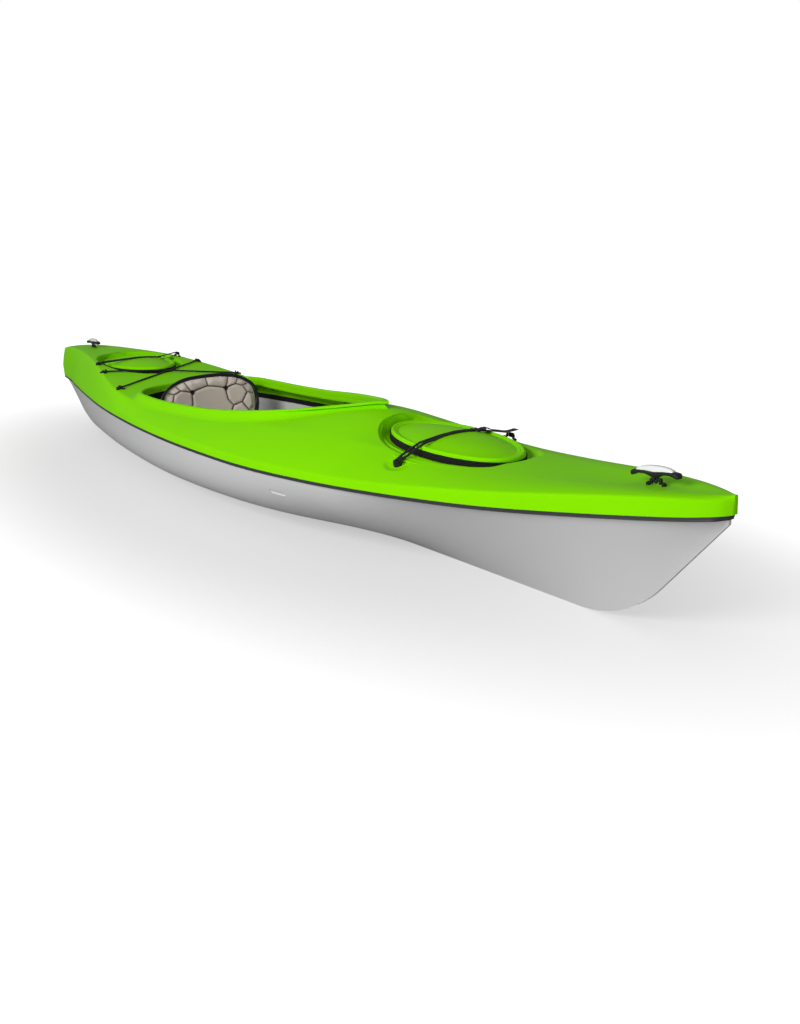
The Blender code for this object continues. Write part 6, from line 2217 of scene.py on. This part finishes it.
@dataclass
class Backrest:
    """The backrest: a bent shell on the hinge pin, and its padded face with sewn panels, piping and studs."""

    hinge: tuple[float, float, float] = (-0.390, 0.0, 0.108)
    lean: float = math.radians(11.0)
    width: float = 0.384
    height: float = 0.236
    bend: float = 0.020
    foot: float = 0.014
    shell_wall: float = 0.005
    pad_wall: float = 0.026
    pad_start: float = 0.030
    stud: tuple[float, float] = (0.067, 0.180)
    stud_radius: float = 0.0085
    knuckle: tuple[float, float, float] = (0.018, 0.110, 0.032)
    bore: float = 0.0044
    rib: tuple[float, float, float] = (0.006, 0.010, 0.150)
    rib_z: float = 0.115
    ribs_y: tuple[float, ...] = (-0.09, 0.0, 0.09)
    stitch_width: float = 0.0026
    stitch_depth: float = 0.0075
    puff: float = 0.0042
    puff_width: float = 0.013
    piping: float = 0.0047
    breadth: Table = ((0.0, 0.74), (0.3, 0.93), (0.6, 1.0), (0.85, 0.98), (1.0, 0.91))
    seams: tuple[Table, ...] = (
        ((0.0, 0.245), (0.0, 0.196), (0.045, 0.187), (0.067, 0.180)),
        ((0.067, 0.180), (0.080, 0.201), (0.097, 0.240)),
        ((0.067, 0.180), (0.109, 0.190), (0.137, 0.180), (0.149, 0.155), (0.124, 0.121), (0.089, 0.113),
         (0.071, 0.137), (0.067, 0.180)),
        ((0.109, 0.190), (0.126, 0.209), (0.146, 0.235)),
        ((0.137, 0.180), (0.165, 0.190), (0.195, 0.205)),
        ((0.149, 0.155), (0.172, 0.148), (0.195, 0.144)),
        ((0.124, 0.121), (0.142, 0.092), (0.170, 0.066)),
        ((0.089, 0.113), (0.070, 0.078), (0.0, 0.078)),
        ((0.070, 0.078), (0.078, 0.010)),
    )

    @property
    def frame(self) -> Matrix:
        """The matrix from the backrest's own frame to the boat's."""
        return Matrix.Translation(self.hinge) @ Matrix.Rotation(-self.lean, 4, "Y")

    def half_width(self, t: np.ndarray) -> np.ndarray:
        """Half width at a share of the height."""
        return self.width / 2 * monotone(self.breadth, t)

    def bow(self, y: np.ndarray | float) -> np.ndarray | float:
        """How far the shell's face is bent forward at a distance from its middle."""
        return self.bend * (y / (self.width / 2)) ** 2

    def spot(self, u: np.ndarray, t: np.ndarray, forward: np.ndarray | float) -> np.ndarray:
        """Points of the backrest in its own frame.

        Args:
            u: Share across, from -1 to 1.
            t: Share of the height.
            forward: Distance in front of the shell's face.

        Returns:
            The points.
        """
        y = u * self.half_width(t)
        top = self.height * (1 - 0.15 * np.abs(u) ** 2.6)
        z = self.foot + t * (top - self.foot)
        x = self.bow(y) + forward
        return np.stack(np.broadcast_arrays(x, y, z), axis=-1)

    def outline(self, out: float, count: int = 140) -> np.ndarray:
        """The pad's outline as (u, t) shares, with rounded corners, scaled about its middle.

        Args:
            out: Scale of the outline.
            count: Number of points.

        Returns:
            Shares of the outline.
        """
        ring = superellipse(out, out, 6.0, count)
        return np.column_stack([ring[:, 0], 0.5 + 0.5 * ring[:, 1]])

    def slab(self, name: str, low: float, front: float, back: float, scale: float, edge: float) -> Piece:
        """A closed slab that follows the backrest's bend, with a round edge.

        Args:
            name: Name of the piece.
            low: Share of the height where it starts.
            front: Distance of its face in front of the shell's face.
            back: Distance of its rear.
            scale: Scale of its outline.
            edge: Radius of its edge.

        Returns:
            The object.
        """
        rings = []
        round_over = (front - back) * 0.12
        steps = (
            (0.02, front), (0.25, front), (0.5, front), (0.75, front), (0.9, front), (1 - edge, front),
            (1 - edge * 0.4, front - round_over), (1.0, (front + back) / 2),
            (1 - edge * 0.4, back + round_over), (1 - edge, back), (0.75, back), (0.4, back), (0.02, back),
        )
        for share, forward in steps:
            ring = self.outline(scale * share)
            rings.append(self.spot(ring[:, 0], low + (1 - low) * ring[:, 1], forward))
        return loft(name, np.array(rings))

    def make_shell(self) -> None:
        """The rigid shell behind the pad, with its hinge knuckle."""
        shell = self.slab("back_shell", 0.0, 0.0, -self.shell_wall, 1.0, 0.02)
        knuckle = block("knuckle", self.knuckle)
        rounded_edges(knuckle, 0.005, 4, 80)
        cut(knuckle, cylinder("bore", self.bore, 0.3, (0, 0, 0), (math.pi / 2, 0, 0)))
        ribs = []
        for y in self.ribs_y:
            x = -self.shell_wall - 0.0015 + self.bow(y)
            rib = block("rib", self.rib, (x, y, self.rib_z))
            ribs.append(rounded_edges(rib, 0.0025, 3))
        shell = moved(joined(shell, knuckle, *ribs), self.frame)
        dressed(smoothed(shell), SEAT_PLASTIC, BLACK_PLASTIC, "backrest", "backrest_shell")

    def seam_distance(self, points: np.ndarray) -> np.ndarray:
        """Distance in the face from each point to the nearest sewn channel."""
        nearest = np.ones(len(points))
        place = np.column_stack([np.abs(points[:, 1]), points[:, 2]])
        for line in self.seams:
            for a, b in zip(np.array(line), np.array(line)[1:]):
                t = np.clip(((place - a) @ (b - a)) / ((b - a) @ (b - a)), 0, 1)[:, None]
                nearest = np.minimum(nearest, np.linalg.norm(place - a - t * (b - a), axis=1))
        return nearest

    def make_pad(self) -> None:
        """The padded face, swollen as cloth, then sewn down along its channels."""
        pad = self.slab("back_pad", self.pad_start, self.pad_wall - 0.008, 0.0012, 0.985, 0.05)
        swell(pad, pressure=4.0, cap=0.007, fineness=2)
        points = mesh_points(pad)
        away = self.seam_distance(points)
        bent = self.bow(points[:, 1])
        front = np.clip((points[:, 0] - bent) / self.pad_wall, 0, 1)
        groove = np.exp(-((away / self.stitch_width) ** 2))
        puff = self.puff * (1 - np.exp(-((away / self.puff_width) ** 2)))
        # Painted shade along the sewn channels of the face.
        stitched(pad, groove * (front > 0.45))
        points[:, 0] += front**2 * (puff - self.stitch_depth * groove)
        points[:, 0] = np.minimum(points[:, 0], bent + self.pad_wall + 0.001)
        laid(pad, points)
        ring = self.outline(0.988, 160)
        edge = self.spot(ring[:, 0], self.pad_start + (1 - self.pad_start) * ring[:, 1], 0.0125)
        welt = tube("back_piping", edge[[*range(160), 0]], self.piping)
        smoothed(moved(pad, self.frame), 70)
        dressed(pad, PAD_CLOTH, "pad", "backrest", "backrest_pad")
        dressed(smoothed(moved(welt, self.frame), 60), PIPING, "pad", "backrest")

    def make_studs(self) -> None:
        """The two round studs that hold the pad to its shell."""
        for side in Side:
            y, z = side.value * self.stud[0], self.stud[1]
            x = self.bow(y) + self.pad_wall - 0.0015
            head = cylinder(f"back_stud_{side.word}", self.stud_radius, 0.0050, vertices=40)
            sink_top(head, 0.0026, 0.0010, 0.0015)
            rounded_edges(head, 0.0009, 3)
            moved(head, self.frame @ Matrix.Translation((x, y, z)) @ Matrix.Rotation(math.pi / 2, 4, "Y"))
            dressed(smoothed(head), PLASTIC, BLACK_PLASTIC, "backrest", f"backrest_stud_{side.word}")

    def make(self) -> None:
        """Makes shell, pad and studs."""
        self.make_shell()
        self.make_pad()
        self.make_studs()


@dataclass
class FootBrace:
    """A foot brace: a notched rail on the hull's side, its sliding pedal and the pedal's lock lever.

    Attributes:
        side: Side of the boat.
    """

    side: Side
    aft_x: float = 0.360
    bow_x: float = 0.690
    aft_y: float = 0.31241
    bow_y: float = 0.2610
    level: float = 0.150
    rail: tuple[float, float] = (0.010, 0.022)
    carriage: tuple[float, float, float] = (0.070, 0.010, 0.030)
    plate: tuple[float, float, float] = (0.010, 0.075, 0.105)
    drop: float = 0.020
    pedal_x: float = 0.525
    lever: tuple[float, float, float] = (0.045, 0.008, 0.016)
    notch: tuple[float, float, float] = (0.006, 0.006, 0.010)
    notch_pitch: float = 0.0185
    screw_radius: float = 0.004
    screw_inset: float = 0.0055
    plate_round: float = 0.014
    treads: int = 8
    tread: tuple[float, float] = (0.0035, 0.004)
    thumb: tuple[float, float] = (0.016, 0.003)

    @property
    def frame(self) -> Matrix:
        """Frame of the rail: its X runs along the rail, its Y points to port."""
        sign = self.side.value
        heading = math.atan2(sign * (self.bow_y - self.aft_y), self.bow_x - self.aft_x)
        middle = ((self.aft_x + self.bow_x) / 2, sign * (self.aft_y + self.bow_y) / 2, self.level)
        return Matrix.Translation(middle) @ Matrix.Rotation(heading, 4, "Z")

    @property
    def inward(self) -> int:
        """Sign of Y towards the boat's middle."""
        return -self.side.value

    @property
    def along(self) -> float:
        """Where the pedal's carriage stands on the rail."""
        return (self.pedal_x - (self.aft_x + self.bow_x) / 2) / math.cos(self.frame.to_euler().z)

    def make_rail(self) -> None:
        """The rail with its row of lock notches and its two screws."""
        length = math.hypot(self.bow_x - self.aft_x, self.bow_y - self.aft_y)
        wall, high = self.rail
        y = self.inward * wall / 2
        rail = block(f"brace_rail_{self.side.word}", (length, wall, high), (0, y, 0))
        notches = [
            block("notch", self.notch, (x, y + self.inward * wall / 2, 0))
            for x in np.arange(-length / 2 + 0.030, length / 2 - 0.025, self.notch_pitch)
        ]
        cut(rail, joined(*notches))
        rounded_edges(rail, 0.0012, 2, 50)
        turn = Matrix.Rotation(-self.inward * math.pi / 2, 4, "X")
        screws = [
            screw("screw", self.screw_radius, Matrix.Translation((x, self.inward * wall, 0)) @ turn)
            for x in (-length / 2 + self.screw_inset, length / 2 - self.screw_inset)
        ]
        piece = moved(joined(rail, *screws), self.frame)
        dressed(smoothed(piece), PLASTIC, BLACK_PLASTIC, "hull", f"foot_rail_{self.side.word}")

    def make_pedal(self) -> None:
        """The pedal: a carriage round the rail's face and a ribbed, slightly curved foot plate."""
        long, wall, high = self.carriage
        gap = self.rail[0] + LINES.clearance
        word = self.side.word
        place = (self.along, self.inward * (gap + wall / 2), 0)
        carriage = rounded_edges(block(f"brace_pedal_{word}", self.carriage, place), 0.0020, 3)
        thick, wide, tall = self.plate
        off = self.inward * (gap + wall * 0.8 + wide / 2)
        centre = (self.along + long / 2 - thick / 2, off, tall / 2 - self.drop)
        plate = block("plate", (thick * 0.6, wide, tall), centre)
        with editing(plate):
            bevel_edges(plate, lambda e: edge_run(e, 0) > thick / 4, self.plate_round, 6)
        rounded_edges(plate, 0.0014, 2, 50)
        ribs = []
        for z in np.linspace(centre[2] - tall * 0.38, centre[2] + tall * 0.38, self.treads):
            size = (self.tread[0], wide * 0.86, self.tread[1])
            ribs.append(rounded_edges(block("rib", size, (centre[0] - thick * 0.40, off, z)), 0.0012, 2))
        piece = moved(joined(carriage, plate, *ribs), self.frame)
        dressed(smoothed(piece), PLASTIC, BLACK_PLASTIC, f"pedal_{word}", f"foot_pedal_{word}")

    def make_lever(self) -> None:
        """The sprung lock lever with its thumb pad."""
        long, wall, high = self.lever
        gap = self.rail[0] + self.carriage[1] + 2 * LINES.clearance + wall / 2
        pivot = self.along + self.carriage[0] / 2 - self.plate[0] - wall / 2 - 0.001
        word, off = self.side.word, self.inward * gap
        middle = (pivot - long / 2 + wall * 0.2, off, 0)
        arm = block(f"brace_lever_{word}", (long, wall * 0.8, high), middle)
        rounded_edges(arm, 0.0028, 4)
        tip = (pivot - long + 0.011, self.inward * (gap + wall * 0.35), 0)
        pad = rounded_edges(block("thumb", (*self.thumb, high * 0.9), tip), 0.0012, 3)
        barrel = rounded_edges(cylinder("barrel", wall / 2, high, (pivot, off, 0)), 0.0008, 2)
        piece = moved(joined(arm, pad, barrel), self.frame)
        dressed(smoothed(piece), PLASTIC, BLACK_PLASTIC, f"lever_{word}", f"lock_lever_{word}")

    def make(self) -> None:
        """Makes rail, pedal and lever."""
        self.make_rail()
        self.make_pedal()
        self.make_lever()


@dataclass
class ThighPad:
    """A foam pad under the deck beside the cockpit.

    Attributes:
        side: Side of the boat.
    """

    side: Side
    aft_x: float = 0.120
    length: float = 0.150
    y: float = 0.235
    width: float = 0.055
    wall: float = 0.022

    def make(self) -> None:
        """Lofts the pad under the deck, with rounded ends and a crowned face."""
        rings = []
        for share in np.sin(np.linspace(-math.pi / 2, math.pi / 2, 25)):
            x = self.aft_x + self.length / 2 * (1 + share)
            pinch = (1 - abs(share) ** 6) ** 0.5 * 0.75 + 0.25
            ring = superellipse(self.width / 2, self.wall / 2 * pinch, 4.0, 32)
            y = self.y + self.width / 2 + ring[:, 0] * (0.8 + 0.2 * pinch)
            top = LINES.deck_height(np.full(len(y), x), y) - LINES.deck_wall * 1.3 - 0.0006
            z = top - self.wall / 2 + ring[:, 1] - 0.0015
            rings.append(np.column_stack([np.full(len(y), x), self.side.value * y, z]))
        pad = smoothed(loft(f"thigh_cushion_{self.side.word}", np.array(rings)), 60)
        dressed(pad, FOAM, "foam", "hull", f"thigh_pad_{self.side.word}")


def dress_frame(frame: dict) -> None:
    """Gives every CAD node that still shows the finish of its slot.
    """
    finishes = {
        "deck": DECK_GREEN, "hull": HULL_WHITE, "trim": TRIM_CHARCOAL, "gasket": RUBBER, "cord": CORD,
        BLACK_PLASTIC: PLASTIC, "pale_plastic": PALE_CAP, "webbing": WEBBING, "pad": PAD_CLOTH, "foam": FOAM,
        "pin": STEEL,
    }
    slots = {part["node"]: part["material_slot"] for part in frame["record"]["subparts"]}
    for name, node in frame["nodes"].items():
        node.data.materials.clear()
        node.data.materials.append(finishes[slots[name]].material())


def main() -> None:
    """Builds the studio and every sub-assembly in order."""
    logging.basicConfig(level=logging.INFO, format="%(name)s %(message)s")
    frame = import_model()
    dress_frame(frame)
    Studio().make()
    HullShell().make()
    SeamTrim().make()
    DeckMoulding(Cockpit(), (FRONT, REAR)).make()
    for hatch, shift in ((FRONT, (0.0, 0.0, 0.0030)), (REAR, (0.0, 0.0024, 0.0))):
        Lid(hatch).make()
        Strap(hatch, shift).make()
    CarryHandle("bow", 1.622, lift=0.0025).make()
    CarryHandle("stern", -1.515).make()
    Bungee("bungee_low", (-0.638, -0.238), (-0.885, 0.195), 0.0).make()
    Bungee("bungee_high", (-0.638, 0.238), (-0.885, -0.195), 0.007).make()
    Seat().make()
    Backrest().make()
    for side in Side:
        FootBrace(side).make()
        ThighPad(side).make()


if __name__ == "__main__":
    main()
